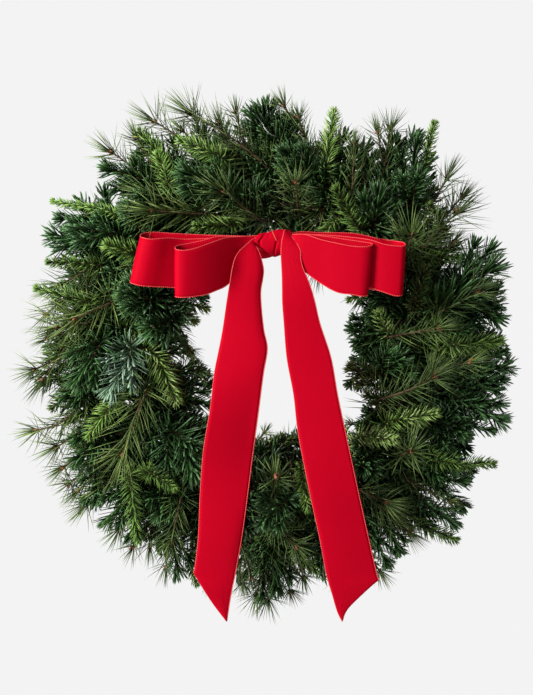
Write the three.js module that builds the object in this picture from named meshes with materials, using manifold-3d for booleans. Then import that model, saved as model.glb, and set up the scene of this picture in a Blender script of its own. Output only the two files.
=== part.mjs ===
// An evergreen wreath with a ribbon bow: bunches of pine, fir and spruce bound to a wire frame.
// Millimetres, +Z up. The wreath faces -Y, the wall is the plane y = 0, and the nail that holds
// the hanging loop is at the origin.
import * as THREE from "three";
import { mergeVertices } from "three/addons/utils/BufferGeometryUtils.js";
import Module from "manifold-3d";

const wasm = await Module();
wasm.setup();
const { Manifold, Mesh: SolidMesh } = wasm;

// Driving dimensions.
const wreathAcross = 617; // foliage, tip to tip
const ringDrop = 237; // from the nail down to the wreath's centre
const railRadii = { fir: 196, pine: 207, spruce: 218 }; // one frame wire under each kind's stems
const railWire = 1.6; // radius of the frame's wire
const railForward = 3; // the wires' middle, from the wall
const stemRadius = 2.8; // main stem of a bunch, bound to the frame
const bindingRadius = 0.45;
const thinWire = 0.5; // radius of the hanging loop's wire and the bow's tie wire
const ribbonThick = 1;
const crest = 86; // how far the foliage stands out over the stems
const rim = 30; // how far it stands out at its inner and outer edge
const gap = 0.3; // clearance between pieces that touch

// The photograph's frame: 506 columns of it span the foliage, and the wreath's centre is where it says.
const wreathColumns = 506;
const scale = wreathAcross / wreathColumns;
const centreColumn = 268;
const centreRow = 347;
const viewDistance = 3000; // nearer pieces look larger by their share of this
const middleForward = 50; // the depth at which the scale holds

// Each bunch fills one of the ring's places, counted clockwise from the top.
const places = 16;
const placeTurn = (2 * Math.PI) / places;

// How each kind grows: lean is the angle from twig to needle, spacing is along the twig, and tip
// is the share of a needle's length that stands at the twig's end.
const kinds = {
  pine: { colour: 0x64803f, twig: 2, needle: 0.72, lean: 0.6, spacing: 12, tip: 0.95 },
  fir: { colour: 0x33603f, twig: 2, needle: 0.72, lean: 0.95, spacing: 10, tip: 0.7 },
  spruce: { colour: 0x7f9c4b, twig: 2, needle: 0.72, lean: 0.85, spacing: 11, tip: 0.8 },
};

// Share of the foliage's depth at which a spray starts and ends.
const layers = {
  deep: { root: 0.42, tip: 0.5 },
  mid: { root: 0.66, tip: 0.75 },
  front: { root: 0.88, tip: 0.98 },
  toward: { root: 0.6, tip: 1.22 },
};

// Sprays as read off the photograph, in its columns and rows: where each comes into view, any
// bend, its tip, then the length of its needles and its layer.
const sprays = {
  pine: [
    [[195, 150], [148, 117], 40, "mid"],
    [[135, 170], [103, 147], 40, "mid"],
    [[207, 213], [155, 211], 38, "front"],
    [[190, 205], [148, 194], 32, "mid"],
    [[268, 168], [240, 144], [188, 113], 42, "mid"],
    [[246, 150], [233, 108], 25, "mid"],
    [[318, 162], [283, 103], 33, "mid"],
    [[352, 195], [354, 138], 28, "mid"],
    [[268, 222], [226, 193], 38, "front"],
    [[300, 215], [296, 184], 30, "toward"],
    [[378, 190], [398, 130], 33, "mid"],
    [[430, 205], [449, 175], 30, "mid"],
    [[428, 245], [453, 214], 33, "front"],
    [[405, 254], [412, 236], 42, "toward"],
    [[98, 266], [61, 284], 35, "mid"],
    [[112, 302], [77, 318], 42, "front"],
    [[95, 322], [59, 327], 40, "mid"],
    [[75, 338], [41, 381], 35, "mid"],
    [[92, 397], [40, 432], 33, "mid"],
    [[150, 382], [136, 415], [124, 451], 38, "front"],
    [[90, 448], [62, 469], 33, "mid"],
    [[120, 470], [72, 504], 35, "mid"],
    [[135, 508], [117, 533], 32, "mid"],
    [[180, 502], [172, 539], 30, "front"],
    [[250, 452], [266, 430], 15, "mid"],
    [[272, 505], [276, 478], 30, "toward"],
    [[275, 522], [295, 545], 33, "front"],
    [[240, 538], [250, 577], 28, "mid"],
    [[268, 565], [268, 597], 25, "deep"],
    [[295, 545], [301, 573], 25, "mid"],
    [[385, 338], [436, 329], 30, "front"],
    [[440, 312], [477, 293], 32, "front"],
    [[430, 372], [468, 363], 30, "front"],
    [[375, 403], [409, 390], [432, 378], 36, "front"],
    [[395, 458], [411, 451], 36, "toward"],
    [[405, 478], [459, 508], 30, "mid"],
    [[360, 490], [384, 502], 36, "front"],
    [[370, 500], [392, 513], 36, "mid"],
    [[385, 515], [407, 531], 28, "mid"],
    [[362, 545], [379, 569], 28, "mid"],
    [[215, 540], [212, 572], 28, "mid"],
    [[338, 530], [345, 572], 28, "mid"],
  ],
  fir: [
    [[150, 186], [104, 171], 22, "mid"],
    [[95, 245], [43, 234], 25, "mid"],
    [[115, 235], [72, 227], 22, "front"],
    [[150, 215], [125, 207], 20, "front"],
    [[232, 192], [183, 172], 25, "front"],
    [[285, 150], [252, 112], 25, "mid"],
    [[275, 150], [266, 108], 25, "deep"],
    [[330, 200], [322, 165], 22, "mid"],
    [[310, 175], [285, 150], 22, "front"],
    [[405, 205], [416, 138], 24, "mid"],
    [[405, 215], [417, 180], 20, "toward"],
    [[375, 228], [379, 190], 24, "front"],
    [[452, 285], [490, 268], 28, "mid"],
    [[100, 345], [76, 385], 22, "front"],
    [[135, 345], [106, 397], 27, "front"],
    [[100, 382], [63, 396], 20, "mid"],
    [[150, 294], [122, 285], 30, "toward"],
    [[175, 318], [148, 330], 25, "front"],
    [[163, 302], [188, 319], 22, "mid"],
    [[165, 345], [190, 338], 14, "mid"],
    [[170, 375], [205, 370], 18, "mid"],
    [[175, 400], [212, 405], 18, "mid"],
    [[100, 440], [75, 462], 22, "front"],
    [[135, 490], [108, 525], 20, "mid"],
    [[172, 530], [178, 573], 22, "mid"],
    [[176, 432], [197, 475], 28, "front"],
    [[175, 490], [158, 518], 22, "mid"],
    [[287, 500], [262, 525], 20, "front"],
    [[272, 552], [272, 592], 22, "mid"],
    [[385, 335], [352, 329], 18, "mid"],
    [[365, 340], [382, 362], 20, "mid"],
    [[380, 372], [404, 357], 25, "front"],
    [[470, 305], [498, 318], 22, "mid"],
    [[480, 300], [498, 288], 18, "mid"],
    [[466, 372], [500, 368], 24, "mid"],
    [[460, 398], [493, 413], 22, "mid"],
    [[445, 425], [470, 440], 20, "mid"],
    [[375, 452], [363, 466], 20, "toward"],
    [[430, 455], [455, 470], 18, "mid"],
    [[425, 500], [454, 519], 20, "mid"],
    [[380, 520], [398, 550], 18, "mid"],
    [[225, 450], [222, 492], 22, "mid"],
    [[330, 455], [338, 500], 22, "mid"],
  ],
  spruce: [
    [[162, 158], [137, 129], 10, "mid"],
    [[170, 186], [158, 152], 12, "front"],
    [[128, 217], [52, 201], 9, "mid"],
    [[138, 255], [102, 244], 12, "front"],
    [[100, 265], [45, 262], 8, "mid"],
    [[222, 158], [179, 140], 12, "front"],
    [[240, 158], [211, 150], 9, "mid"],
    [[326, 170], [334, 108], 10, "front"],
    [[362, 230], [335, 186], 12, "front"],
    [[236, 222], [194, 227], 10, "front"],
    [[290, 184], [284, 160], 8, "front"],
    [[420, 172], [435, 122], 9, "mid"],
    [[445, 232], [430, 203], 9, "front"],
    [[425, 258], [462, 258], 10, "mid"],
    [[416, 305], [426, 266], 11, "front"],
    [[85, 303], [35, 288], 9, "mid"],
    [[80, 385], [51, 409], 9, "mid"],
    [[115, 400], [88, 438], 10, "front"],
    [[150, 350], [179, 403], 13, "front"],
    [[178, 300], [210, 310], 12, "mid"],
    [[131, 478], [138, 543], 10, "front"],
    [[190, 562], [197, 586], 7, "mid"],
    [[150, 472], [176, 489], 9, "front"],
    [[258, 450], [299, 438], 9, "mid"],
    [[298, 553], [325, 578], 9, "mid"],
    [[302, 468], [308, 511], 9, "front"],
    [[365, 290], [346, 298], 8, "mid"],
    [[392, 335], [373, 309], 12, "front"],
    [[378, 378], [348, 368], 14, "mid"],
    [[385, 400], [360, 390], 12, "mid"],
    [[452, 345], [507, 341], 10, "mid"],
    [[385, 424], [439, 413], 11, "front"],
    [[355, 438], [398, 439], 13, "front"],
    [[440, 461], [497, 464], 9, "mid"],
    [[415, 521], [459, 541], 9, "mid"],
  ],
};

// The two strips of the bow's loops, as stations along the ribbon's middle: column, row, how far
// forward, height in rows and how far the ribbon leans (columns from its lower to its upper edge).
const backLoops = [
  [276, 245.2, 104, 20.2, 0],
  [252, 245.2, 103, 20.2, 0],
  [236, 250.5, 99, 30, 0],
  [205, 258, 95, 46, 0],
  [168, 258.7, 94, 50.5, 4.5],
  [147, 258.5, 96, 51.5, 8],
  [137.5, 258.7, 102, 49, 10],
  [135.3, 259.4, 110, 46, 10],
  [140, 261.3, 117, 46, 10.5],
  [148, 262.5, 119, 46.8, 10],
  [160, 262.5, 114.6, 48.3, 8],
  [178, 263, 107, 48.5, 4.5],
  [205, 261.3, 104.5, 45.4, 0],
  [236, 251, 105, 30, 0],
  [252, 245.2, 107.2, 20.2, 0],
  [292, 245.2, 107.2, 20.2, 0],
  [308, 250.8, 110.5, 32, 0],
  [338, 260.5, 118.5, 49, 0],
  [360, 262.6, 126.4, 48, 1.5],
  [371, 264.6, 130.8, 47.5, 2],
  [383, 267.8, 135, 47, 3],
  [395.5, 271, 137, 49.5, 3],
  [402.5, 270.5, 133.5, 49.6, 3],
  [403.4, 269, 124, 49.6, 3],
  [400, 267.3, 105, 50.3, 3],
  [389, 266, 96, 51, 3],
  [370, 263.5, 94, 51.5, 2.5],
  [338, 260, 94.5, 50, 0],
  [308, 249.5, 98, 33, 0],
  [292, 245.2, 101, 20.2, 0],
  [268, 245.2, 101, 20.2, 0],
];
const frontLoops = [
  [276, 245, 110.4, 20.2, 0],
  [252, 245, 110.4, 20.2, 0],
  [236, 253.3, 114.5, 33.4, 0],
  [212, 263.5, 120.5, 50, 0],
  [190, 269, 124, 51, 1],
  [178.5, 270.5, 129, 50, 0],
  [175.3, 271.8, 138, 48.8, 0],
  [176.2, 273, 146, 47.8, 0],
  [180, 273.8, 151.2, 47, 0],
  [186, 273.7, 152.3, 47.1, 1],
  [197, 272, 149, 48.4, 1],
  [211, 267.5, 141, 49.8, 0],
  [226, 261.9, 131, 47.8, 0],
  [240, 254.4, 121.5, 35.2, 0],
  [252, 245, 116.8, 20.2, 0],
  [290, 245, 116.8, 20.2, 0],
  [296, 249, 124.5, 29, 0],
  [304, 252.6, 130.4, 36.8, 0],
  [320, 261.1, 134.4, 43.4, 0],
  [337.5, 267.8, 138.4, 48.9, 0],
  [352, 270.3, 140.6, 48.2, 0],
  [363.5, 271.5, 141, 49.3, 2.7],
  [369.6, 270.5, 138.2, 50.2, 4.6],
  [368.8, 269, 134.6, 51, 4.8],
  [360, 267.7, 131.8, 51.6, 4],
  [344.5, 265.3, 127.8, 51.5, 3],
  [325.5, 260.2, 123.8, 47.5, 1],
  [308, 252.2, 118.4, 35.7, 0],
  [292, 245, 113.6, 20.2, 0],
  [268, 245, 113.6, 20.2, 0],
];

// The tails, as rows across the ribbon: its left edge, its right edge and how far forward.
const leftTail = [
  [[264, 237], [264, 254], 119.9],
  [[252.6, 237.5], [252.6, 255], 120.1],
  [[243, 249], [254.5, 261], 127],
  [[233, 262], [260.5, 268], 135],
  [[230, 284], [261, 284], 136],
  [[226.7, 300], [261.4, 300], 134],
  [[222, 330], [265, 330], 129],
  [[214, 370], [262, 370], 125],
  [[210, 408], [259, 408], 120.8],
  [[204, 450], [252, 450], 119],
  [[200, 495], [247, 495], 118.3],
  [[198, 540], [240, 540], 116],
  [[194, 571], [235, 571], 111.6],
  [[205, 590], [231.5, 590], 110],
  [[215, 605], [229, 605], 108.7],
  [[225.4, 620], [227.4, 620], 108],
];
const rightTail = [
  [[283, 229.8], [289, 229.8], 118],
  [[282.4, 230.4], [290.5, 231.4], 124.6],
  [[282, 238], [293, 239], 125.1],
  [[281.5, 250], [300, 250], 130.4],
  [[281.5, 266], [303.6, 266], 132.4],
  [[281.7, 284], [309, 284], 133.6],
  [[282.5, 300], [313, 300], 133.2],
  [[284, 322], [319.5, 322], 130.2],
  [[287, 358], [331, 358], 126],
  [[292, 395], [338, 395], 122.3],
  [[298.5, 430], [345, 430], 118.6],
  [[310, 495], [359, 495], 121],
  [[319, 540], [369, 540], 117.5],
  [[328, 581], [378.4, 581], 112.3],
  [[332.5, 595], [366, 595], 110.5],
  [[337, 608], [354, 608], 109],
  [[341.2, 620], [343.6, 620], 108],
];

// The knot wraps the pinched loops: its edges in the photograph, and the depths of its outer faces
// and of the slot that the loops pass through.
const knot = {
  left: 254,
  right: 290,
  top: 231,
  bottom: 258,
  back: 97,
  front: 124,
  slotBack: 99.6,
  slotFront: 121,
  wall: 3,
  corner: 6,
  slotCorner: 1,
};

// Boxes in the hole that stay clear: behind the tails, and right through beside and between them.
const openings = [
  { low: [-64, -116, -85], high: [70, 14, 55] },
  { low: [-3, -170, -79], high: [17.5, 14, 41] },
];

// A repeatable source of numbers from 0 to 1.
function makeDraw(seed) {
  let state = seed;
  return () => {
    state = (state + 0x6d2b79f5) | 0;
    let t = Math.imul(state ^ (state >>> 15), 1 | state);
    t = (t + Math.imul(t ^ (t >>> 7), 61 | t)) ^ t;
    return ((t ^ (t >>> 14)) >>> 0) / 4294967296;
  };
}
const draw = makeDraw(24);

// A point of the wreath from its place in the photograph and its depth.
function place(column, row, forward) {
  const reach = scale * (1 - (forward - middleForward) / viewDistance);
  return new THREE.Vector3((column - centreColumn) * reach, -forward, (centreRow - row) * reach);
}

// A point on the ring from its angle, radius and depth.
function onRing(angle, radius, forward) {
  return new THREE.Vector3(radius * Math.cos(angle), -forward, radius * Math.sin(angle));
}

function solidOf(geometry) {
  for (const name of ["normal", "uv"]) geometry.deleteAttribute(name);
  const merged = mergeVertices(geometry, 1e-4);
  const triVerts = new Uint32Array(merged.index.array);
  const vertProperties = new Float32Array(merged.attributes.position.array);
  const made = new Manifold(new SolidMesh({ numProp: 3, vertProperties, triVerts }));
  if (made.volume() > 0) return made;
  for (let i = 0; i < triVerts.length; i += 3) {
    [triVerts[i + 1], triVerts[i + 2]] = [triVerts[i + 2], triVerts[i + 1]];
  }
  return new Manifold(new SolidMesh({ numProp: 3, vertProperties, triVerts }));
}

function geometryOf(points, faces) {
  const geometry = new THREE.BufferGeometry().setFromPoints(points);
  geometry.setIndex(faces);
  return geometry;
}

function addMesh(group, name, solid, look) {
  const { vertProperties, triVerts } = solid.getMesh();
  const geometry = new THREE.BufferGeometry();
  geometry.setAttribute("position", new THREE.BufferAttribute(vertProperties, 3));
  geometry.setIndex(new THREE.BufferAttribute(triVerts, 1));
  const mesh = new THREE.Mesh(geometry, new THREE.MeshStandardMaterial(look));
  mesh.name = name;
  group.add(mesh);
}

// The direction of a line of points at each of them.
function tangentsOf(points, closed) {
  const last = points.length - 1;
  return points.map((point, i) => {
    const before = points[i > 0 ? i - 1 : closed ? last : 0];
    const after = points[i < last ? i + 1 : closed ? 0 : last];
    return after.clone().sub(before).normalize();
  });
}

// Two directions square to a line of points at each of them, with no twist along it.
function framesOf(points, closed) {
  const side = new THREE.Vector3(0.31, 0.85, 0.42); // any direction that no line runs along
  return tangentsOf(points, closed).map((along) => {
    side.addScaledVector(along, -side.dot(along)).normalize();
    return { along, side: side.clone(), other: along.clone().cross(side) };
  });
}

// The direction out of a line at a turn round it.
function outward({ side, other }, turn) {
  return side.clone().multiplyScalar(Math.cos(turn)).addScaledVector(other, Math.sin(turn));
}

// A tube through points, with a radius for each and flat ends, or joined end to end.
function tube(points, radii, sides, closed = false) {
  const frames = framesOf(points, closed);
  const corners = [];
  points.forEach((point, i) => {
    for (let k = 0; k < sides; k += 1) {
      const turn = (2 * Math.PI * k) / sides;
      corners.push(point.clone().addScaledVector(outward(frames[i], turn), radii[i]));
    }
  });
  const faces = [];
  const rings = points.length;
  const link = (a, b, shift) => {
    for (let k = 0; k < sides; k += 1) {
      const next = (k + 1) % sides;
      const far = b * sides + ((k + shift) % sides);
      const farNext = b * sides + ((next + shift) % sides);
      faces.push(a * sides + k, a * sides + next, farNext, a * sides + k, farNext, far);
    }
  };
  for (let i = 0; i + 1 < rings; i += 1) link(i, i + 1, 0);
  if (closed) {
    const from = corners[(rings - 1) * sides];
    const reach = corners.slice(0, sides).map((corner) => corner.distanceTo(from));
    link(rings - 1, 0, reach.indexOf(Math.min(...reach)));
  } else {
    for (let k = 1; k + 1 < sides; k += 1) {
      faces.push(0, k + 1, k);
      const end = (rings - 1) * sides;
      faces.push(end, end + k, end + k + 1);
    }
  }
  return solidOf(geometryOf(corners, faces));
}

// A three-sided needle from its root to its point.
function needleSolid(needle) {
  const length = needle.from.distanceTo(needle.to);
  const geometry = new THREE.ConeGeometry(needle.radius, length, 3, 1);
  geometry.translate(0, length / 2, 0);
  const way = needle.to.clone().sub(needle.from).normalize();
  geometry.applyQuaternion(new THREE.Quaternion().setFromUnitVectors(new THREE.Vector3(0, 1, 0), way));
  geometry.translate(needle.from.x, needle.from.y, needle.from.z);
  return solidOf(geometry);
}

// A ribbon from stations, each with its middle and the half vector across it.
function ribbon(stations) {
  const along = tangentsOf(stations.map((station) => station.middle), false);
  const corners = [];
  stations.forEach(({ middle, across }, i) => {
    const out = along[i].clone().cross(across).setLength(ribbonThick / 2);
    for (const [a, b] of [[1, 1], [-1, 1], [-1, -1], [1, -1]]) {
      corners.push(middle.clone().addScaledVector(across, a).addScaledVector(out, b));
    }
  });
  const faces = [];
  for (let i = 0; i + 1 < stations.length; i += 1) {
    const [a, b] = [4 * i, 4 * i + 4];
    faces.push(a, b, a + 1, b, b + 1, a + 1); // front
    faces.push(a + 2, b + 2, a + 3, b + 2, b + 3, a + 3); // back
    faces.push(a + 1, b + 1, a + 2, b + 1, b + 2, a + 2);
    faces.push(a + 3, b + 3, a, b + 3, b, a);
  }
  const end = corners.length - 4;
  faces.push(0, 1, 2, 0, 2, 3, end, end + 2, end + 1, end, end + 3, end + 2);
  return solidOf(geometryOf(corners, faces));
}

// Two stations for each one chosen, on smooth curves through them.
function smoothStations(stations) {
  const [middles, acrosses] = ["middle", "across"].map((key) => {
    const type = key === "middle" ? "centripetal" : "catmullrom";
    return new THREE.CatmullRomCurve3(stations.map((station) => station[key]), false, type);
  });
  const steps = 2 * (stations.length - 1);
  return Array.from({ length: steps + 1 }, (unused, i) => {
    return { middle: middles.getPoint(i / steps), across: acrosses.getPoint(i / steps) };
  });
}

function loopStations(rows) {
  return rows.map(([column, row, forward, height, lean]) => {
    const top = place(column + lean / 2, row - height / 2, forward);
    const bottom = place(column - lean / 2, row + height / 2, forward);
    return { middle: top.clone().add(bottom).divideScalar(2), across: top.sub(bottom).divideScalar(2) };
  });
}

function tailStations(rows) {
  return rows.map(([left, right, forward]) => {
    const start = place(...left, forward);
    const end = place(...right, forward);
    return { middle: start.clone().add(end).divideScalar(2), across: end.sub(start).divideScalar(2) };
  });
}

// What is already placed, as rods with round ends, so that the next piece can keep clear of it.
const placed = [];

function addRods(owner, points, radius, closed = false, twig = null) {
  for (let i = 0; i + 1 < points.length; i += 1) {
    placed.push({ owner, from: points[i], to: points[i + 1], radius, twig });
  }
  if (closed) placed.push({ owner, from: points[points.length - 1], to: points[0], radius });
}

// A ribbon as balls a few millimetres apart.
function addRibbonBalls(owner, stations) {
  const spacing = 5;
  const radius = 4;
  stations.forEach(({ middle, across }) => {
    const count = Math.ceil(across.length() / spacing);
    for (let k = -count; k <= count; k += 1) {
      const ball = middle.clone().addScaledVector(across, k / count);
      placed.push({ owner, from: ball, to: ball, radius });
    }
  });
}

// The shortest distance between two straight pieces.
function rodDistance(a, b, c, d) {
  const u = b.clone().sub(a);
  const v = d.clone().sub(c);
  const w = a.clone().sub(c);
  const uu = Math.max(u.dot(u), 1e-9);
  const vv = Math.max(v.dot(v), 1e-9);
  const uv = u.dot(v);
  const uw = u.dot(w);
  const vw = v.dot(w);
  const clamp = (value) => Math.min(1, Math.max(0, value));
  const flat = uu * vv - uv * uv;
  let s = flat > 1e-6 ? clamp((uv * vw - uw * vv) / flat) : 0;
  const t = clamp((uv * s + vw) / vv);
  s = clamp((uv * t - uw) / uu);
  return u.multiplyScalar(s).add(w).addScaledVector(v, -t).length();
}

function inOpening(point, radius) {
  return openings.some(({ low, high }) =>
    ["x", "y", "z"].every((axis, i) => point[axis] > low[i] - radius && point[axis] < high[i] + radius),
  );
}

// Whether a rod keeps clear of the wall, the openings and every piece that isn't its own.
function isClear(owner, from, to, radius, twig) {
  const wallGap = 1.2;
  if (Math.max(from.y, to.y) > -(radius + wallGap)) return false;
  const middle = from.clone().add(to).divideScalar(2);
  const half = from.distanceTo(to) / 2;
  const samples = 6;
  for (let i = 0; i <= samples; i += 1) {
    if (inOpening(from.clone().lerp(to, i / samples), radius + gap)) return false;
  }
  return placed.every((rod) => {
    if (twig ? rod.twig === twig : rod.owner === owner) return true;
    const room = radius + rod.radius + gap;
    const far = rod.from.distanceTo(middle) - rod.from.distanceTo(rod.to) - half;
    return far > room || rodDistance(from, to, rod.from, rod.to) > room;
  });
}

// The frame: three rings of wire on flat crossbars.
function makeFrame() {
  const segments = 32; // a corner is at the top, where the loop and the tie wire hold on
  const parts = Object.values(railRadii).map((radius) => {
    const points = Array.from({ length: segments }, (unused, i) =>
      onRing((2 * Math.PI * i) / segments, radius, railForward),
    );
    addRods("wire_frame", points, railWire, true);
    return tube(points, points.map(() => railWire), 5, true);
  });
  const bar = { count: 8, length: 32, width: 7, thick: 1.6 };
  for (let i = 0; i < bar.count; i += 1) {
    const angle = (i + 0.5) * ((2 * Math.PI) / bar.count);
    const box = new THREE.BoxGeometry(bar.length, bar.thick, bar.width);
    box.translate(railRadii.pine, -bar.thick / 2, 0);
    box.rotateY(-angle);
    parts.push(solidOf(box));
    const ends = [-1, 1].map((side) => {
      return onRing(angle, railRadii.pine + (side * bar.length) / 2, bar.thick / 2);
    });
    addRods("wire_frame", ends, bar.width / 2);
  }
  return Manifold.union(parts);
}

// The binding wire: one turn round the frame and the stems at each place, as one closed winding.
function bindingPoints() {
  const half = (railRadii.spruce - railRadii.fir) / 2;
  const stemForward = stemDepth();
  const round = stemRadius + gap + bindingRadius;
  const bow = 0.9; // how far a straight run of stem comes inside its circle
  const overBar = 1.4; // where the winding turns in behind the frame's outermost wires
  const tuck = 1; // how far behind the middle of the wires it turns
  const pull = 0.5; // how much closer it lies on the outside
  const corner = round * Math.tan(Math.PI / 8);
  const front = stemForward + round;
  const wallGap = 0.2;
  const back = bindingRadius + wallGap;
  const section = [
    [half + corner, front],
    [half + round, stemForward + corner],
    [half + round - pull, railForward - tuck],
    [half + overBar, back],
    [-half - overBar, back],
    [-half - round - bow, railForward - tuck],
    [-half - round - bow, stemForward + corner],
    [-half - corner, front],
  ];
  const lengths = section.map(([x, y], i) => {
    const [nextX, nextY] = section[(i + 1) % section.length];
    return Math.hypot(nextX - x, nextY - y);
  });
  const perimeter = lengths.reduce((sum, length) => sum + length, 0);
  const points = [];
  for (let turn = 0; turn < places; turn += 1) {
    let run = lengths[lengths.length - 1] / 2;
    section.forEach(([out, forward], i) => {
      const angle = Math.PI / 2 - placeTurn * (turn + run / perimeter);
      points.push(onRing(angle, railRadii.pine + out, forward));
      run += lengths[i];
    });
  }
  return points;
}

function stemDepth() {
  return railForward + railWire + gap + stemRadius;
}

// The hanging loop: passes under the outer ring of the frame, then opens round the nail.
function hangerPoints() {
  const up = railRadii.spruce;
  const route = [
    [0, 0.6, up],
    [-3, 0.9, up + 4.5],
    [-6.5, 1.2, up + 11],
    [-4.8, 1.2, ringDrop - 2.4],
    [0, 1.2, ringDrop + thinWire],
    [4.8, 1.2, ringDrop - 2.4],
    [6.5, 1.4, up + 11],
    [2.6, 3.2, up + 5],
    [0, 5.6, up + 1.4],
    [0, 5.5, up - 1.4],
    [0, 3, up - 2.9],
    [0, 1.1, up - 2],
  ];
  const curve = new THREE.CatmullRomCurve3(
    route.map(([x, forward, z]) => new THREE.Vector3(x, -forward, z)),
    true,
  );
  const steps = 30;
  return curve.getPoints(steps).slice(0, steps);
}

// The bow's tie wire: from the back of the knot to a hook over the frame's inner ring.
function tiePoints() {
  const ring = railRadii.fir;
  const behindKnot = thinWire + 0.2;
  const start = place((knot.left + knot.right) / 2, (knot.top + knot.bottom) / 2, knot.back - behindKnot);
  const route = [
    [0, 60, ring - 34],
    [0, 16, ring - 8],
    [0, 5.5, ring - 2.2],
    [0, 3, ring - 3],
    [0, 0.7, ring - 1.3],
    [0, 0.7, ring + 1.3],
    [0, 3, ring + 3],
    [0, 5.6, ring + 1.4],
  ];
  return [start, ...route.map(([x, forward, z]) => new THREE.Vector3(x, -forward, z))];
}

// The knot: a short flattened sleeve round the pinched loops.
function makeKnot() {
  const topPoint = place(knot.left, knot.top, knot.front);
  const bottomPoint = place(knot.right, knot.bottom, knot.front);
  const width = bottomPoint.x - topPoint.x;
  const outline = (rear, fore, bottom, top, cut) => [
    new THREE.Vector2(rear + cut, bottom),
    new THREE.Vector2(fore - cut, bottom),
    new THREE.Vector2(fore, bottom + cut),
    new THREE.Vector2(fore, top - cut),
    new THREE.Vector2(fore - cut, top),
    new THREE.Vector2(rear + cut, top),
    new THREE.Vector2(rear, top - cut),
    new THREE.Vector2(rear, bottom + cut),
  ];
  const { back, front, corner, slotBack, slotFront, slotCorner, wall } = knot;
  const [low, high] = [bottomPoint.z, topPoint.z];
  const shape = new THREE.Shape(outline(back, front, low, high, corner));
  const slot = outline(slotBack, slotFront, low + wall, high - wall, slotCorner);
  shape.holes.push(new THREE.Path(slot));
  const geometry = new THREE.ExtrudeGeometry(shape, { depth: width, bevelEnabled: false, steps: 1 });
  const turn = new THREE.Matrix4().makeBasis(
    new THREE.Vector3(0, -1, 0),
    new THREE.Vector3(0, 0, 1),
    new THREE.Vector3(1, 0, 0),
  );
  geometry.applyMatrix4(turn);
  geometry.translate(topPoint.x, 0, 0);
  return solidOf(geometry);
}

// How far the foliage stands from the wall at a distance from the centre.
function mound(radius) {
  const middle = 200;
  const halfWidth = 118;
  const off = (radius - middle) / halfWidth;
  return rim + (crest - rim) * Math.max(0, 1 - off * off);
}

function radiusOf(point) {
  return Math.hypot(point.x, point.z);
}

// The ring's place that a spray's root belongs to, from 0 at the top, clockwise.
function placeOf(point) {
  const turn = (Math.PI / 2 - Math.atan2(point.z, point.x) + 2 * Math.PI) % (2 * Math.PI);
  return Math.floor(turn / placeTurn);
}

// A spray's twig: out of the main stem, forward to where it shows, then on to its tip.
function twigPoints(kind, spray, bend) {
  const layer = layers[spray.layer];
  const least = 12; // the nearest to the wall that a twig is led
  const tipsOut = 8; // how far the tips stand out over the mound
  const riseShare = 0.35; // of the way from the stem to where the twig shows
  const depth = (spot, share, extra) => {
    const flat = place(...spot, middleForward);
    return place(...spot, Math.max(least, mound(radiusOf(flat)) * share + extra));
  };
  const root = depth(spray.spots[0], layer.root, bend.root);
  const rest = spray.spots.slice(1).map((spot) => depth(spot, layer.tip, tipsOut + bend.tip));
  const start = onRing(spray.angle + bend.angle, railRadii[kind], stemDepth());
  const rise = start.clone().lerp(root, riseShare);
  rise.y -= bend.lift;
  const curve = new THREE.CatmullRomCurve3([start, rise, root, ...rest], false, "centripetal");
  const shown = rest.length > 1 ? 4 : 2;
  const hidden = 2;
  const splitAt = 2 / (2 + rest.length); // the share of the curve at which the twig comes into view
  const points = [];
  for (let i = 0; i < hidden; i += 1) points.push(curve.getPoint((splitAt * i) / hidden));
  for (let i = 0; i <= shown; i += 1) {
    points.push(curve.getPoint(splitAt + ((1 - splitAt) * i) / shown));
  }
  return { points, firstShown: hidden };
}

function routeIsClear(owner, points, radius) {
  return points.every((point, i) => i === 0 || isClear(owner, points[i - 1], point, radius));
}

// A route for the twig that crosses nothing: as drawn, or bent a little more at each try.
function routeTwig(kind, owner, spray) {
  const tries = 400;
  for (let i = 0; i < tries; i += 1) {
    const ease = i / tries;
    const span = 4 + 22 * ease;
    const bend = {
      angle: (draw() - 0.5) * (0.05 + 0.2 * ease),
      lift: 5 + draw() * (6 + 30 * ease),
      root: (draw() - 0.5) * span,
      tip: (draw() - 0.5) * span,
    };
    const route = twigPoints(kind, spray, bend);
    if (routeIsClear(owner, route.points, kinds[kind].twig)) return route;
  }
  throw new Error(`no clear route for ${owner} at ${spray.spots[0]}`);
}

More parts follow.
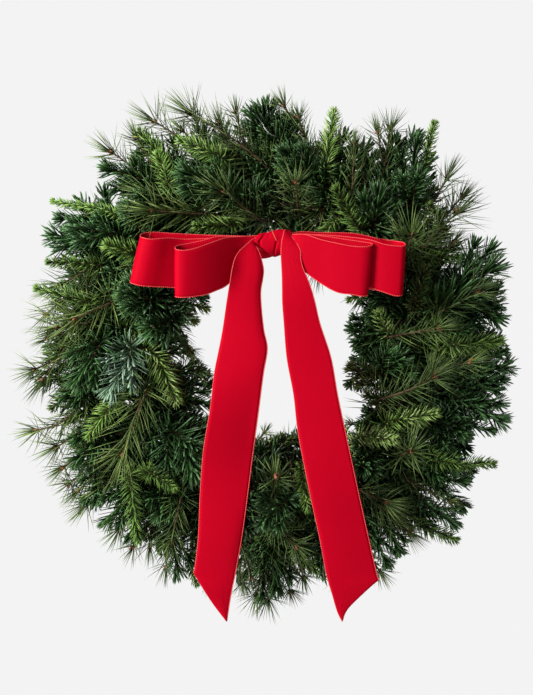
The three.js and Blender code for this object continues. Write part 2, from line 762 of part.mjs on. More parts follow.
// The needles round the part of a twig that shows: one from each of its three faces in turn, and
// one from its end, each turned a little further at every try until it is clear.
function growNeedles(kind, owner, spray, route) {
  const { twig, needle: radius, lean, spacing, tip } = kinds[kind];
  const frames = framesOf(route.points, false);
  const faces = 3;
  const tries = 16;
  const endLean = 0.1; // of the last needle, which stands at the twig's end
  const endInset = 0.8; // how deep its root sits there
  const grown = [];
  const grow = (from, frame, face, angle, share) => {
    for (let attempt = 0; attempt < tries; attempt += 1) {
      const ease = attempt / tries;
      const turn = ((face + 0.5) * 2 * Math.PI) / faces + (draw() - 0.5) * (0.5 + 0.9 * ease);
      const tilt = angle * (0.85 + 0.3 * draw()) + (draw() - 0.5) * 0.5 * ease;
      const way = frame.along.clone().multiplyScalar(Math.cos(tilt));
      way.addScaledVector(outward(frame, turn), Math.sin(tilt));
      const length = share * spray.needle * scale * (0.85 + 0.2 * draw()) + twig / 2;
      const to = from.clone().addScaledVector(way, length);
      if (isClear(owner, from, to, radius, route)) {
        grown.push({ from, to, radius });
        return;
      }
    }
  };
  let face = 0;
  for (let i = route.firstShown; i + 1 < route.points.length; i += 1) {
    const [start, end] = [route.points[i], route.points[i + 1]];
    const count = Math.round(start.distanceTo(end) / spacing);
    for (let k = 0; k < count; k += 1) {
      grow(start.clone().lerp(end, (k + 0.5) / count), frames[i], face, lean, 1);
      face += 1;
    }
  }
  const last = route.points.length - 1;
  const endFrame = frames[last];
  const endRoot = route.points[last].clone().addScaledVector(endFrame.along, -endInset);
  grow(endRoot, endFrame, face, endLean, tip);
  grown.forEach((needle) => placed.push({ owner, ...needle, twig: route }));
  return grown;
}

// The main stem of a bunch, along its wire of the frame.
function stemPoints(kind, index) {
  const trim = 0.014; // turn left free at each end
  const start = Math.PI / 2 - placeTurn * index - trim;
  const end = start - placeTurn + 2 * trim;
  return [0, 0.5, 1].map((share) => onRing(start + (end - start) * share, railRadii[kind], stemDepth()));
}

function nodeName(kind, index) {
  return `${kind}_${String(index + 1).padStart(2, "0")}`;
}

const wreath = new THREE.Group();
wreath.position.z = -ringDrop;

const wireLook = { color: 0x3c4a3a, roughness: 0.5, metalness: 0.6 };
const zincLook = { color: 0x9a9c9e, roughness: 0.4, metalness: 0.9 };
const ribbonLook = { color: 0xd1002c, roughness: 0.65, metalness: 0 };

addMesh(wreath, "wire_frame", makeFrame(), wireLook);

function addWire(name, points, radius, sides, closed, look) {
  addRods(name, points, radius, closed);
  addMesh(wreath, name, tube(points, points.map(() => radius), sides, closed), look);
}
addWire("binding_wire", bindingPoints(), bindingRadius, 3, true, zincLook);
addWire("hanging_loop", hangerPoints(), thinWire, 4, true, zincLook);
addWire("bow_tie_wire", tiePoints(), thinWire, 4, false, zincLook);

const bowPieces = {
  bow_back_loops: smoothStations(loopStations(backLoops)),
  bow_front_loops: smoothStations(loopStations(frontLoops)),
  bow_tail_left: smoothStations(tailStations(leftTail)),
  bow_tail_right: smoothStations(tailStations(rightTail)),
};
for (const [name, stations] of Object.entries(bowPieces)) {
  addRibbonBalls(name, stations);
  addMesh(wreath, name, ribbon(stations), ribbonLook);
}
const knotRound = 21; // radius of the rod that foliage keeps off the knot
const knotRow = (knot.top + knot.bottom) / 2;
const knotEnds = [knot.left + 7, knot.right - 5].map((column) => place(column, knotRow, knot.front - 12));
addRods("bow_knot", knotEnds, knotRound);
addMesh(wreath, "bow_knot", makeKnot(), ribbonLook);

// The bunches: every main stem first, then every twig, then the needles.
const bunches = new Map();
for (const [kind, rows] of Object.entries(sprays)) {
  for (const row of rows) {
    const spots = row.slice(0, -2);
    const [needle, layer] = row.slice(-2);
    const root = place(...spots[0], middleForward);
    const index = placeOf(root);
    const owner = nodeName(kind, index);
    if (!bunches.has(owner)) bunches.set(owner, { kind, index, sprays: [] });
    const room = 0.06; // turn kept free at the ends of a stem
    const middle = Math.PI / 2 - placeTurn * (index + 0.5);
    const offset = Math.atan2(root.z, root.x) - middle;
    const wrapped = Math.atan2(Math.sin(offset), Math.cos(offset));
    const limit = placeTurn / 2 - room;
    const angle = middle + Math.min(limit, Math.max(-limit, wrapped));
    bunches.get(owner).sprays.push({ spots, needle, layer, angle });
  }
}
for (const [owner, bunch] of bunches) {
  bunch.stem = stemPoints(bunch.kind, bunch.index);
  addRods(owner, bunch.stem, stemRadius);
}
for (const [owner, bunch] of bunches) {
  bunch.routes = bunch.sprays.map((spray) => {
    const route = routeTwig(bunch.kind, owner, spray);
    addRods(owner, route.points, kinds[bunch.kind].twig, false, route);
    return route;
  });
}
const twigTaper = 0.12; // share of a twig's radius lost towards its tip
const mergeWithin = 0.02; // faces this close to flat become one
for (const [owner, { kind, sprays: own, stem, routes }] of bunches) {
  const solids = [tube(stem, stem.map(() => stemRadius), 4)];
  routes.forEach((route, i) => {
    const { length } = route.points;
    const taper = route.points.map((point, k) => kinds[kind].twig * (1 - (twigTaper * k) / length));
    solids.push(tube(route.points, taper, 3));
    solids.push(...growNeedles(kind, owner, own[i], route).map(needleSolid));
  });
  const joined = Manifold.union(solids).simplify(mergeWithin);
  addMesh(wreath, owner, joined, { color: kinds[kind].colour, roughness: 0.7, metalness: 0 });
}

const part = new THREE.Group();
part.add(wreath);

export default part;
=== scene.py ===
import math
import random

import bpy
import numpy as np
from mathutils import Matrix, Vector


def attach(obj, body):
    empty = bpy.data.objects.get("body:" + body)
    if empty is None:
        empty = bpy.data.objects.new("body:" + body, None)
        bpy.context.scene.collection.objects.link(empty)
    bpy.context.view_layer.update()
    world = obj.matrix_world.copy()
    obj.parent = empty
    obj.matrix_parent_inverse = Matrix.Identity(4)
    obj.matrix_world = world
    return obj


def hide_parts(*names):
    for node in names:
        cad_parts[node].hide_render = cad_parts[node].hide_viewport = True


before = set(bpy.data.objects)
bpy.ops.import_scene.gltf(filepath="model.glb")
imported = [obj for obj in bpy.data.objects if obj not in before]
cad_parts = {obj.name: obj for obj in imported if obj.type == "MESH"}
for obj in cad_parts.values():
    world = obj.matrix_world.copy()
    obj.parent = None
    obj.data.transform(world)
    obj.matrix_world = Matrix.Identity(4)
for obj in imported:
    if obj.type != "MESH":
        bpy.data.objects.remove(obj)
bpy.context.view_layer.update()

print("frame loaded with", len(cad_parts), "nodes")

# How the photograph's columns and rows become places on the wreath, in metres from the ring's centre.
photo = {
    "across": 533,
    "down": 695,
    "scale": 0.617 / 506,  # metres for a column, at the middle depth
    "centreColumn": 268,
    "centreRow": 347,
    "distance": 3.0,  # from the camera to the middle depth
    "middle": 0.05,  # forward from the wall
    "ringDrop": 0.237,  # from the nail down to the ring's centre
}


def columnWidth(forward):  # nearer pieces look larger
    return photo["scale"] * (1 - (forward - photo["middle"]) / photo["distance"])


def place(column, row, forward):
    width = columnWidth(forward)
    return np.array([(column - photo["centreColumn"]) * width, -forward, (photo["centreRow"] - row) * width])


def pixelOf(point):
    width = columnWidth(-point[1])
    return point[0] / width + photo["centreColumn"], photo["centreRow"] - point[2] / width


def onRing(angle, radius, forward):
    return np.array([radius * math.cos(angle), -forward, radius * math.sin(angle)])


def unit(vectors):
    return vectors / (np.linalg.norm(vectors, axis=-1, keepdims=True) + 1e-12)


# Rows of numbers on a smooth curve through the ones given, spaced by how far apart the rows are.
def smoothRows(rows, steps, closed=False):
    rows = np.array(rows, float)
    if closed:
        rows = np.vstack([rows[-2:], rows, rows[:3]])
    gaps = np.sqrt(np.linalg.norm(np.diff(rows, axis=0), axis=1)) + 1e-6
    knots = np.concatenate([[0], np.cumsum(gaps)])
    slopes = np.diff(rows, axis=0) / gaps[:, None]
    weight = (gaps[:-1] / (gaps[:-1] + gaps[1:]))[:, None]
    inner = slopes[:-1] * (1 - weight) + slopes[1:] * weight
    tangents = np.vstack([slopes[:1], inner, slopes[-1:]])
    low, high = (knots[2], knots[-3]) if closed else (knots[0], knots[-1])
    at = np.linspace(low, high, steps + 1)
    if closed:
        at = at[:-1]
    i = np.clip(np.searchsorted(knots, at, side="right") - 1, 0, len(rows) - 2)
    t = ((at - knots[i]) / gaps[i])[:, None]
    h = gaps[i][:, None]
    start = (1 + 2 * t) * (1 - t) ** 2 * rows[i] + t * (1 - t) ** 2 * h * tangents[i]
    return start + t * t * (3 - 2 * t) * rows[i + 1] + t * t * (t - 1) * h * tangents[i + 1]


def linear(red, green, blue):  # a colour as a screen shows it, for a shader
    shown = [value / 255 for value in (red, green, blue)]
    return (*[s / 12.92 if s <= 0.04045 else ((s + 0.055) / 1.055) ** 2.4 for s in shown], 1.0)


class Wire:  # a node's output, with arithmetic on values
    def __init__(self, net, socket):
        self.net = net
        self.socket = socket

    def maths(self, operation, *others):
        return self.net.add("ShaderNodeMath", {"operation": operation}, [self, *others])

    def twin(self, name):
        return Wire(self.net, next(s for s in self.socket.node.outputs if s.enabled and s.name == name))

    def __add__(self, other):
        return self.maths("ADD", other)

    def __sub__(self, other):
        return self.maths("SUBTRACT", other)

    def __rsub__(self, other):
        return self.net.add("ShaderNodeMath", {"operation": "SUBTRACT"}, [other, self])

    def __mul__(self, other):
        return self.maths("MULTIPLY", other)

    def __pow__(self, other):
        return self.maths("POWER", other)

    def __gt__(self, other):
        return self.maths("GREATER_THAN", other)

    def __lt__(self, other):
        return self.maths("LESS_THAN", other)

    __radd__ = __add__
    __rmul__ = __mul__


class Net:  # a node tree that is built by calls
    def __init__(self, tree):
        self.tree = tree

    def add(self, kind, settings=None, values=(), out=None):
        node = self.tree.nodes.new(kind)
        for key, value in (settings or {}).items():
            if key == "stops":
                ramp = node.color_ramp
                while len(ramp.elements) < len(value):
                    ramp.elements.new(0.5)
                for element, (position, colour) in zip(ramp.elements, value):
                    element.position = position
                    element.color = colour
            else:
                setattr(node, key, value)
        sockets = [s for s in node.inputs if s.enabled]
        pairs = values.items() if isinstance(values, dict) else enumerate(values)
        for key, value in pairs:
            socket = sockets[key] if isinstance(key, int) else next(s for s in sockets if s.name == key)
            if isinstance(value, Wire):
                self.tree.links.new(value.socket, socket)
            elif value is not None:
                socket.default_value = value
        shown = [s for s in node.outputs if s.enabled]
        if not shown:
            return None
        return Wire(self, next(s for s in shown if s.name == out) if out else shown[0])

    def join(self, *parts):
        node = self.tree.nodes.new("GeometryNodeJoinGeometry")
        for part in parts:
            self.tree.links.new(part.socket, node.inputs[0])
        return Wire(self, node.outputs[0])

    def given(self, rows):  # the tree's named inputs, and what each is at first
        for name, kind, value in rows:
            made = self.tree.interface.new_socket(name=name, in_out="INPUT", socket_type=kind)
            if value is not None:
                made.default_value = value
        node = self.tree.nodes.new("NodeGroupInput")
        return {name: Wire(self, node.outputs[name]) for name, kind, value in rows}

    def result(self, geometry):
        self.tree.interface.new_socket(name="Geometry", in_out="OUTPUT", socket_type="NodeSocketGeometry")
        self.add("NodeGroupOutput", {}, [geometry])

    def number(self, name):  # an attribute of the points
        return self.add("GeometryNodeInputNamedAttribute", {"data_type": "FLOAT"}, [name])

    def vector(self, name):
        return self.add("GeometryNodeInputNamedAttribute", {"data_type": "FLOAT_VECTOR"}, [name])

    def chance(self, low, high, seed, order=None):
        values = {"Min": low, "Max": high, "Seed": seed, "ID": order}
        return self.add("FunctionNodeRandomValue", {"data_type": "FLOAT"}, values)

    def keep(self, geometry, name, value):
        values = {"Geometry": geometry, "Name": name, "Value": value}
        return self.add("GeometryNodeStoreNamedAttribute", {"data_type": "FLOAT", "domain": "POINT"}, values)

    def combined(self, x, y, z):
        return self.add("ShaderNodeCombineXYZ", {}, [x, y, z])

    def part(self, vector, axis):
        return self.add("ShaderNodeSeparateXYZ", {}, [vector], out=axis)

    def without(self, points, chosen):
        values = {"Geometry": points, "Selection": chosen}
        return self.add("GeometryNodeDeleteGeometry", {"domain": "POINT"}, values)

    def spaced(self, curve, pitch):
        return self.add("GeometryNodeCurveToPoints", {"mode": "LENGTH"}, {"Curve": curve, "Length": pitch})

    def repeated(self, points, times, chosen=None):
        values = {"Geometry": points, "Selection": chosen, "Amount": times}
        return self.add("GeometryNodeDuplicateElements", {"domain": "POINT"}, values)

    def turned(self, rotation, x, z):  # a rotation, then a turn about its own X and Z
        euler = self.add("FunctionNodeEulerToRotation", {}, [self.combined(x, 0.0, z)])
        values = {"Rotation": rotation, "Rotate By": euler}
        return self.add("FunctionNodeRotateRotation", {"rotation_space": "LOCAL"}, values)

    def inFinish(self, geometry, finish):
        return self.add("GeometryNodeSetMaterial", {}, {"Geometry": geometry, "Material": finish})

    def tube(self, curve, sides, radius, swell, finish):
        size = {"Resolution": sides, "Radius": radius}
        ring = self.add("GeometryNodeCurvePrimitiveCircle", {"mode": "RADIUS"}, size)
        values = {"Curve": curve, "Profile Curve": ring, "Scale": swell, "Fill Caps": True}
        return self.inFinish(self.add("GeometryNodeCurveToMesh", {}, values), finish)

    def copies(self, thing, points, rotation, size, finish, chosen=None):
        values = {"Points": points, "Selection": chosen, "Instance": thing}
        values |= {"Rotation": rotation, "Scale": size}
        made = self.add("GeometryNodeInstanceOnPoints", {}, values)
        return self.inFinish(self.add("GeometryNodeRealizeInstances", {}, [made]), finish)


def newMaterial(name, sockets):
    made = bpy.data.materials.new(name)
    made.use_nodes = True
    made.node_tree.nodes.clear()
    net = Net(made.node_tree)
    shader = net.add("ShaderNodeBsdfPrincipled", {}, sockets(net))
    net.add("ShaderNodeOutputMaterial", {}, {"Surface": shader})
    return made


def readNumber(net, name):
    return net.add("ShaderNodeAttribute", {"attribute_name": name}, out="Fac")


def mixed(net, factor, a, b, blend="MIX"):
    settings = {"data_type": "RGBA", "blend_type": blend}
    return net.add("ShaderNodeMix", settings, {"Factor": factor, "A": a, "B": b})


def noiseOn(net, scale, detail=3.0, roughness=0.6):
    coords = net.add("ShaderNodeTexCoord", {}, out="Object")
    values = {"Vector": coords, "Scale": scale, "Detail": detail, "Roughness": roughness}
    return net.add("ShaderNodeTexNoise", {}, values)


# Objects stand at the origin, with their place in the mesh.
def meshObject(name, points, faces, edges=()):
    mesh = bpy.data.meshes.new(name)
    lowered = np.array(points, float) - np.array([0, 0, photo["ringDrop"]])
    mesh.from_pydata(lowered.tolist(), [tuple(e) for e in edges], [tuple(f) for f in faces])
    mesh.update()
    made = bpy.data.objects.new(name, mesh)
    bpy.context.collection.objects.link(made)
    return made


# What a node tree makes from an object, as a plain mesh under the name given.
def grown(name, source, tree, values):
    modifier = source.modifiers.new(tree.name, "NODES")
    modifier.node_group = tree
    for item in tree.interface.items_tree:
        if item.item_type == "SOCKET" and item.in_out == "INPUT" and item.name in values:
            modifier[item.identifier] = values[item.name]
    graph = bpy.context.evaluated_depsgraph_get()
    mesh = bpy.data.meshes.new_from_object(source.evaluated_get(graph), depsgraph=graph)
    mesh.name = name
    source.modifiers.remove(modifier)
    bpy.data.objects.remove(source)
    made = bpy.data.objects.new(name, mesh)
    bpy.context.collection.objects.link(made)
    return made


# A chain of edges for each line, with the numbers and vectors that its points carry.
def chains(name, lines, numbers=None, vectors=None, closed=False):
    points = np.vstack(lines)
    edges, first = [], 0
    for line in lines:
        edges += [(first + i, first + i + 1) for i in range(len(line) - 1)]
        if closed:
            edges.append((first + len(line) - 1, first))
        first += len(line)
    made = meshObject(name, points, (), edges)
    for key, values in (numbers or {}).items():
        made.data.attributes.new(key, "FLOAT", "POINT").data.foreach_set("value", np.concatenate(values))
    for key, values in (vectors or {}).items():
        flat = np.vstack(values).astype(np.float32).ravel()
        made.data.attributes.new(key, "FLOAT_VECTOR", "POINT").data.foreach_set("vector", flat)
    return made


# Needle colours run along "tone", from the darkest spray to the palest, and along each needle, which has a
# painted shade at its root and a paler tip.
needleLooks = {
    "pine": {
        "stops": [
            (0.0, linear(40, 50, 26)),
            (0.35, linear(64, 86, 42)),
            (0.6, linear(94, 120, 58)),
            (0.85, linear(142, 164, 86)),
            (1.0, linear(182, 190, 132)),
        ],
        # root: how dark the painted shade at the needles' roots makes them
        "root": 0.48,
        "tip": (linear(150, 170, 92), 0.35),
        "roughness": 0.42,
        "gloss": 0.35,
    },
    "fir": {
        "stops": [
            (0.0, linear(26, 46, 19)),
            (0.3, linear(48, 86, 38)),
            (0.55, linear(74, 120, 60)),
            (0.75, linear(96, 140, 94)),
            (1.0, linear(166, 198, 173)),
        ],
        "root": 0.3,
        "tip": (linear(118, 158, 104), 0.35),
        "roughness": 0.34,
        "gloss": 0.45,
    },
    "spruce": {
        "stops": [
            (0.0, linear(66, 58, 28)),
            (0.3, linear(70, 98, 42)),
            (0.6, linear(108, 147, 65)),
            (0.8, linear(140, 180, 84)),
            (1.0, linear(178, 200, 128)),
        ],
        "root": 0.4,
        "tip": (linear(154, 184, 88), 0.3),
        "roughness": 0.45,
        "gloss": 0.3,
    },
}
needleGrain = {"rootShadeFade": 0.5, "tipFade": 4.0, "blotch": 900.0, "rough": 0.18}


def needleMaterial(kind):
    look = needleLooks[kind]

    def sockets(net):
        along, tone = readNumber(net, "along"), readNumber(net, "tone")
        colour = net.add("ShaderNodeValToRGB", {"stops": look["stops"]}, [tone], out="Color")
        # painted shade: each needle is darkened towards its root, where the needles crowd on the twig
        shade = (*[look["root"]] * 3, 1)
        rootShaded = mixed(net, 1.0 - along ** needleGrain["rootShadeFade"], colour, shade, "MULTIPLY")
        tipColour, tipShare = look["tip"]
        tipped = mixed(net, along ** needleGrain["tipFade"] * tipShare, rootShaded, tipColour)
        rough = look["roughness"] + needleGrain["rough"] * noiseOn(net, needleGrain["blotch"], 2.0)
        return {"Base Color": tipped, "Roughness": rough, "Specular IOR Level": look["gloss"]}

    return newMaterial(f"{kind} needles", sockets)


# Plain finishes: a grain (its scale and detail) that runs from a dark colour to a light one, and what
# it adds to the bump (strength, depth) and to the roughness (least, more).
finishes = {
    "conifer bark": {
        "dark": linear(38, 26, 16), "light": linear(78, 52, 32),
        "fresh": (linear(52, 37, 23), linear(102, 68, 42)),  # a twig's, towards its tip
        "grain": (420.0, 4.0), "bump": (0.6, 0.0008), "roughness": (0.6, 0.25),
    },
    "bud scales": {
        "dark": linear(100, 54, 34), "light": linear(172, 108, 76),
        "grain": (700.0, 3.0), "bump": (0.5, 0.0005), "roughness": (0.5, 0.2),
    },
    "ribbon edging thread": {
        "dark": linear(196, 12, 34), "light": linear(220, 36, 50),
        "grain": (1500.0, 2.0), "bump": (0.4, 0.0002), "roughness": (0.5, 0.2),
    },
    "ribbon edging stitch": {
        "dark": linear(226, 54, 60), "light": linear(246, 96, 90),
        "grain": (1500.0, 2.0), "bump": (0.4, 0.0002), "roughness": (0.5, 0.2),
    },
    "dry needle": {
        "dark": linear(150, 92, 44), "light": linear(206, 150, 84),
        "grain": (1500.0, 2.0), "bump": (0.4, 0.0002), "roughness": (0.5, 0.2),
    },
    "green painted wire": {
        "dark": linear(34, 54, 38), "light": linear(52, 78, 56),
        "grain": (160.0, 5.0), "bump": (0.15, 0.0003), "roughness": (0.35, 0.2),
    },
    "zinc wire": {
        "dark": linear(140, 143, 146), "light": linear(186, 188, 190), "metallic": 1.0,
        "grain": (160.0, 5.0), "bump": (0.15, 0.0003), "roughness": (0.3, 0.2),
    },
}


def bumped(net, bump, height):
    return net.add("ShaderNodeBump", {}, {"Strength": bump[0], "Distance": bump[1], "Height": height})


def plainMaterial(name):
    look = finishes[name]

    def sockets(net):
        grain = noiseOn(net, *look["grain"])
        colour = mixed(net, grain, look["dark"], look["light"])
        if "fresh" in look:
            colour = mixed(net, readNumber(net, "share"), colour, mixed(net, grain, *look["fresh"]))
        least, more = look["roughness"]
        return {
            "Base Color": colour,
            "Roughness": least + more * grain,
            "Metallic": look.get("metallic", 0.0),
            "Normal": bumped(net, look["bump"], grain),
        }

    return newMaterial(name, sockets)


# Woven ribbon: threads along and across it on its own map, which is in metres.
weave = {
    "pitch": 0.0006,
    "light": linear(184, 0, 30),
    "dark": linear(171, 0, 26),
    "cloud": (26.0, 3.0),
    "cloudShare": 0.55,
    "threadShare": 0.3,
    "fuzz": (2200.0, 2.0),
    "fuzzShare": 0.5,
    "bump": (0.35, 0.0002),
    "roughness": (0.52, 0.16),
    "gloss": 0.03,
}


def ribbonMaterial():
    def sockets(net):
        uv = net.add("ShaderNodeUVMap", {"uv_map": "cloth"})
        turns = 2 * math.pi / weave["pitch"]
        warp, weft = [(net.part(uv, axis) * turns).maths("SINE") for axis in "XY"]
        threads = 0.5 + 0.5 * (warp * weft)
        cloudy = noiseOn(net, *weave["cloud"])
        share = weave["cloudShare"] * cloudy + weave["threadShare"] * threads
        least, more = weave["roughness"]
        height = threads + weave["fuzzShare"] * noiseOn(net, *weave["fuzz"])
        return {
            "Base Color": mixed(net, share, weave["light"], weave["dark"]),
            "Roughness": least + more * cloudy,
            "Normal": bumped(net, weave["bump"], height),
            "Specular IOR Level": weave["gloss"],
        }

    return newMaterial("red woven ribbon", sockets)


needleFinish = {kind: needleMaterial(kind) for kind in needleLooks}
redRibbon = ribbonMaterial()
plain = {name: plainMaterial(name) for name in finishes}
print("materials made")


# The bow's strips as stations along them: the upper edge's column and row, the lower edge's,
# and how far forward.
bow = {
    "width": 0.0605,
    "thick": 0.0005,
    "strips": 16,
    "pleats": 4.5,  # waves across the ribbon where it is gathered
    "pleatStart": 0.6,
    "pleatDepth": 0.0013,
    "loose": 1.02,  # share of the width at which the pleats are gone
    "curlFrom": 0.78,  # shares of the width where the edges' curls begin
    "curlTo": 0.45,
    "edgingRadius": 0.00056,
    "endForward": 0.111,
    "stitchPitch": 0.0027,
    "stitch": (1.32, 0.42),  # its radius over the edging's, its half length over the pitch
    "backLoops": [
        (276, 235.0, 276, 255.6, 0.104),
        (252, 236.2, 252, 256.0, 0.103),
        (236, 236.0, 236, 267.0, 0.099),
        (205, 235.0, 205, 281.0, 0.095),
        (172, 233.4, 168, 284.0, 0.094),
        (152, 232.3, 144, 284.5, 0.096),
        (142, 233.9, 132, 283.2, 0.102),
        (140.4, 236.6, 130.2, 282.2, 0.1105),
        (144, 238.1, 133.4, 283.8, 0.1172),
        (151, 239.2, 141, 285.7, 0.1192),
        (159, 238.7, 150, 286.4, 0.117),
        (170, 238.2, 163, 286.9, 0.111),
        (184, 239.2, 180, 287.5, 0.1055),
        (205, 238.6, 205, 284.0, 0.1045),
        (236, 237.0, 236, 267.0, 0.1055),
        (252, 236.0, 252, 256.0, 0.1066),
        (292, 235.0, 292, 255.6, 0.1066),
        (308, 234.5, 308, 267.0, 0.110),
        (338, 236.0, 338, 285.0, 0.1185),
        (352, 237.4, 351.5, 286.0, 0.1238),
        (362, 238.6, 360.5, 286.6, 0.1275),
        (372, 240.4, 370, 287.8, 0.1318),
        (384, 244.3, 381, 291.2, 0.1352),
        (398, 246.2, 395, 295.7, 0.1364),
        (403, 246.3, 400, 295.8, 0.1356),
        (405.2, 245.4, 402.1, 295.0, 0.132),
        (405.4, 244.2, 402.3, 293.8, 0.124),
        (403, 242.4, 400, 292.6, 0.108),
        (396, 241.2, 393, 292.0, 0.096),
        (377.7, 238.4, 375, 290.0, 0.094),
        (355, 233.6, 353, 286.0, 0.094),
        (320, 232.6, 320, 278.0, 0.096),
        (302, 231.8, 302, 266.0, 0.099),
        (288, 233.5, 288, 256.0, 0.101),
        (268, 235.0, 268, 255.6, 0.101),
    ],
    "frontLoops": [
        (276, 234.6, 276, 255.4, 0.1104),
        (252, 236.0, 252, 256.0, 0.1104),
        (236, 236.6, 236, 270.0, 0.114),
        (216, 237.0, 216, 288.0, 0.120),
        (206, 239.7, 204, 291.5, 0.122),
        (190, 243.3, 189, 294.5, 0.124),
        (178, 245.6, 177.6, 295.4, 0.129),
        (175.2, 247.4, 175.4, 296.2, 0.138),
        (175.5, 249.0, 175.6, 296.8, 0.147),
        (177.6, 249.9, 177.6, 297.2, 0.1508),
        (182, 250.4, 181.6, 297.4, 0.1521),
        (187.5, 250.0, 186.6, 297.2, 0.1516),
        (197, 247.8, 196, 296.2, 0.1485),
        (206.3, 244.5, 206.3, 294.3, 0.1438),
        (216, 241.0, 216, 290.6, 0.138),
        (226, 238.0, 226, 285.8, 0.131),
        (240, 236.8, 240, 272.0, 0.1215),
        (252, 236.0, 252, 257.0, 0.1168),
        (290, 234.6, 290, 256.0, 0.1168),
        (293.5, 234.4, 293.5, 260.0, 0.1262),
        (299, 234.1, 299, 266.6, 0.1294),
        (306, 234.7, 306, 272.5, 0.1314),
        (320, 239.4, 320, 282.8, 0.1345),
        (337.5, 243.4, 337.5, 292.3, 0.1386),
        (352, 246.2, 352, 294.4, 0.1408),
        (365, 246.8, 362.4, 296.2, 0.1413),
        (371.4, 245.6, 366.8, 295.7, 0.1385),
        (372.2, 243.8, 367.4, 294.8, 0.1347),
        (362, 241.9, 358, 293.5, 0.1318),
        (346, 239.5, 343, 291.0, 0.1275),
        (326, 236.5, 325, 284.0, 0.1235),
        (308, 234.3, 308, 270.0, 0.118),
        (292, 234.6, 292, 256.0, 0.1136),
        (268, 234.6, 268, 255.4, 0.1136),
    ],
    # the tails' rows end with how far forward each edge is, and how far the left edge curls forward
    # and the right one back
    "leftTail": [
        (262, 238.0, 262, 250.0, 0.1199, 0.1199, 0, 0),
        (253.6, 238.6, 254.8, 246.0, 0.1215, 0.1215, 0, 0),
        (247.5, 244.0, 256.6, 247.0, 0.1265, 0.1265, 0.001, 0),
        (239.8, 251.7, 259.9, 253.6, 0.131, 0.131, 0.0025, 0.001),
        (235, 259.3, 262.3, 262.2, 0.1345, 0.1345, 0.0042, 0.0018),
        (232.2, 269.8, 263.5, 270.5, 0.136, 0.136, 0.0055, 0.0026),
        (230.3, 281.3, 262.5, 280.0, 0.136, 0.1362, 0.0036, 0.0026),
        (228.6, 291.0, 260.8, 290.0, 0.135, 0.1358, 0.0018, 0.002),
        (226.9, 302.0, 260.9, 302.0, 0.133, 0.1345, 0.0006, 0.0018),
        (222.8, 330.0, 263.6, 330.0, 0.127, 0.131, 0, 0.002),
        (219.4, 348.0, 267.2, 348.0, 0.1252, 0.1288, 0, 0.0014),
        (214.6, 372.0, 263.6, 372.0, 0.124, 0.126, 0, 0.0008),
        (210.4, 408.0, 258.8, 408.0, 0.124, 0.1166, 0, -0.001),
        (203.6, 450.0, 253.2, 450.0, 0.1238, 0.1134, 0, -0.0006),
        (200.2, 495.0, 247.6, 495.0, 0.12, 0.1165, 0, 0),
        (198.2, 540.0, 241.4, 540.0, 0.1168, 0.1148, 0, 0.0017),
        (194.7, 569.0, 236.1, 569.0, 0.1131, 0.1109, 0, 0.0008),
        (193.8, 573.4, 235.3, 573.4, 0.1125, 0.1105, 0, 0.0008),
        (195.6, 576.6, 234.7, 576.6, 0.1122, 0.1103, 0, 0.0006),
        (203.6, 590.0, 231.8, 590.0, 0.1128, 0.1096, 0.0004, 0),
        (213.6, 605.0, 229.2, 605.0, 0.1106, 0.1085, 0, 0),
        (226.0, 621.0, 226.8, 621.0, 0.108, 0.108, 0, 0),
    ],
    "rightTail": [
        (285.4, 229.8, 288.2, 231.4, 0.1165, 0.1165, 0, 0),
        (284.2, 231.4, 290.6, 235.3, 0.123, 0.123, 0, 0),
        (283, 236.5, 294.3, 240.2, 0.1275, 0.1272, 0, 0),
        (281.8, 241.5, 298.3, 246.0, 0.1282, 0.1298, 0, 0),
        (281.2, 248.5, 300.6, 251.8, 0.1288, 0.1312, 0, 0),
        (281.1, 256.0, 300.9, 260.3, 0.1293, 0.132, 0, 0),
        (281.6, 266.0, 303.4, 269.2, 0.1302, 0.1333, 0, 0),
        (282.1, 276.0, 307.2, 278.0, 0.1315, 0.1345, 0, 0),
        (282.3, 288.0, 311.2, 289.0, 0.1325, 0.1345, 0, 0),
        (282.5, 302.0, 314.9, 302.0, 0.1325, 0.1338, 0, 0),
        (284, 322.0, 319.5, 322.0, 0.1298, 0.1305, 0, 0),
        (287, 358.0, 331, 358.0, 0.1255, 0.1265, 0, 0),
        (293.8, 395.0, 337.6, 395.0, 0.1212, 0.1235, 0, 0),
        (297.8, 430.0, 345, 430.0, 0.118, 0.119, 0, 0),
        (310.4, 495.0, 359, 495.0, 0.1228, 0.1186, -0.0006, 0),
        (320.2, 540.0, 369, 540.0, 0.1196, 0.1148, -0.001, 0),
        (326.9, 576.0, 377.2, 576.0, 0.1146, 0.1108, -0.0006, 0),
        (328.2, 580.6, 378.4, 580.2, 0.1135, 0.111, 0, 0),
        (329.0, 583.8, 374.8, 583.2, 0.1131, 0.1107, 0, 0),
        (332.5, 595.0, 361.8, 595.0, 0.1115, 0.1095, 0, 0),
        (336.2, 608.0, 348.8, 608.0, 0.1095, 0.1085, 0, 0),
        (338.6, 614.5, 344.8, 614.5, 0.1087, 0.1082, 0, 0),
        (342.0, 621.0, 342.8, 621.0, 0.108, 0.108, 0, 0),
    ],
}


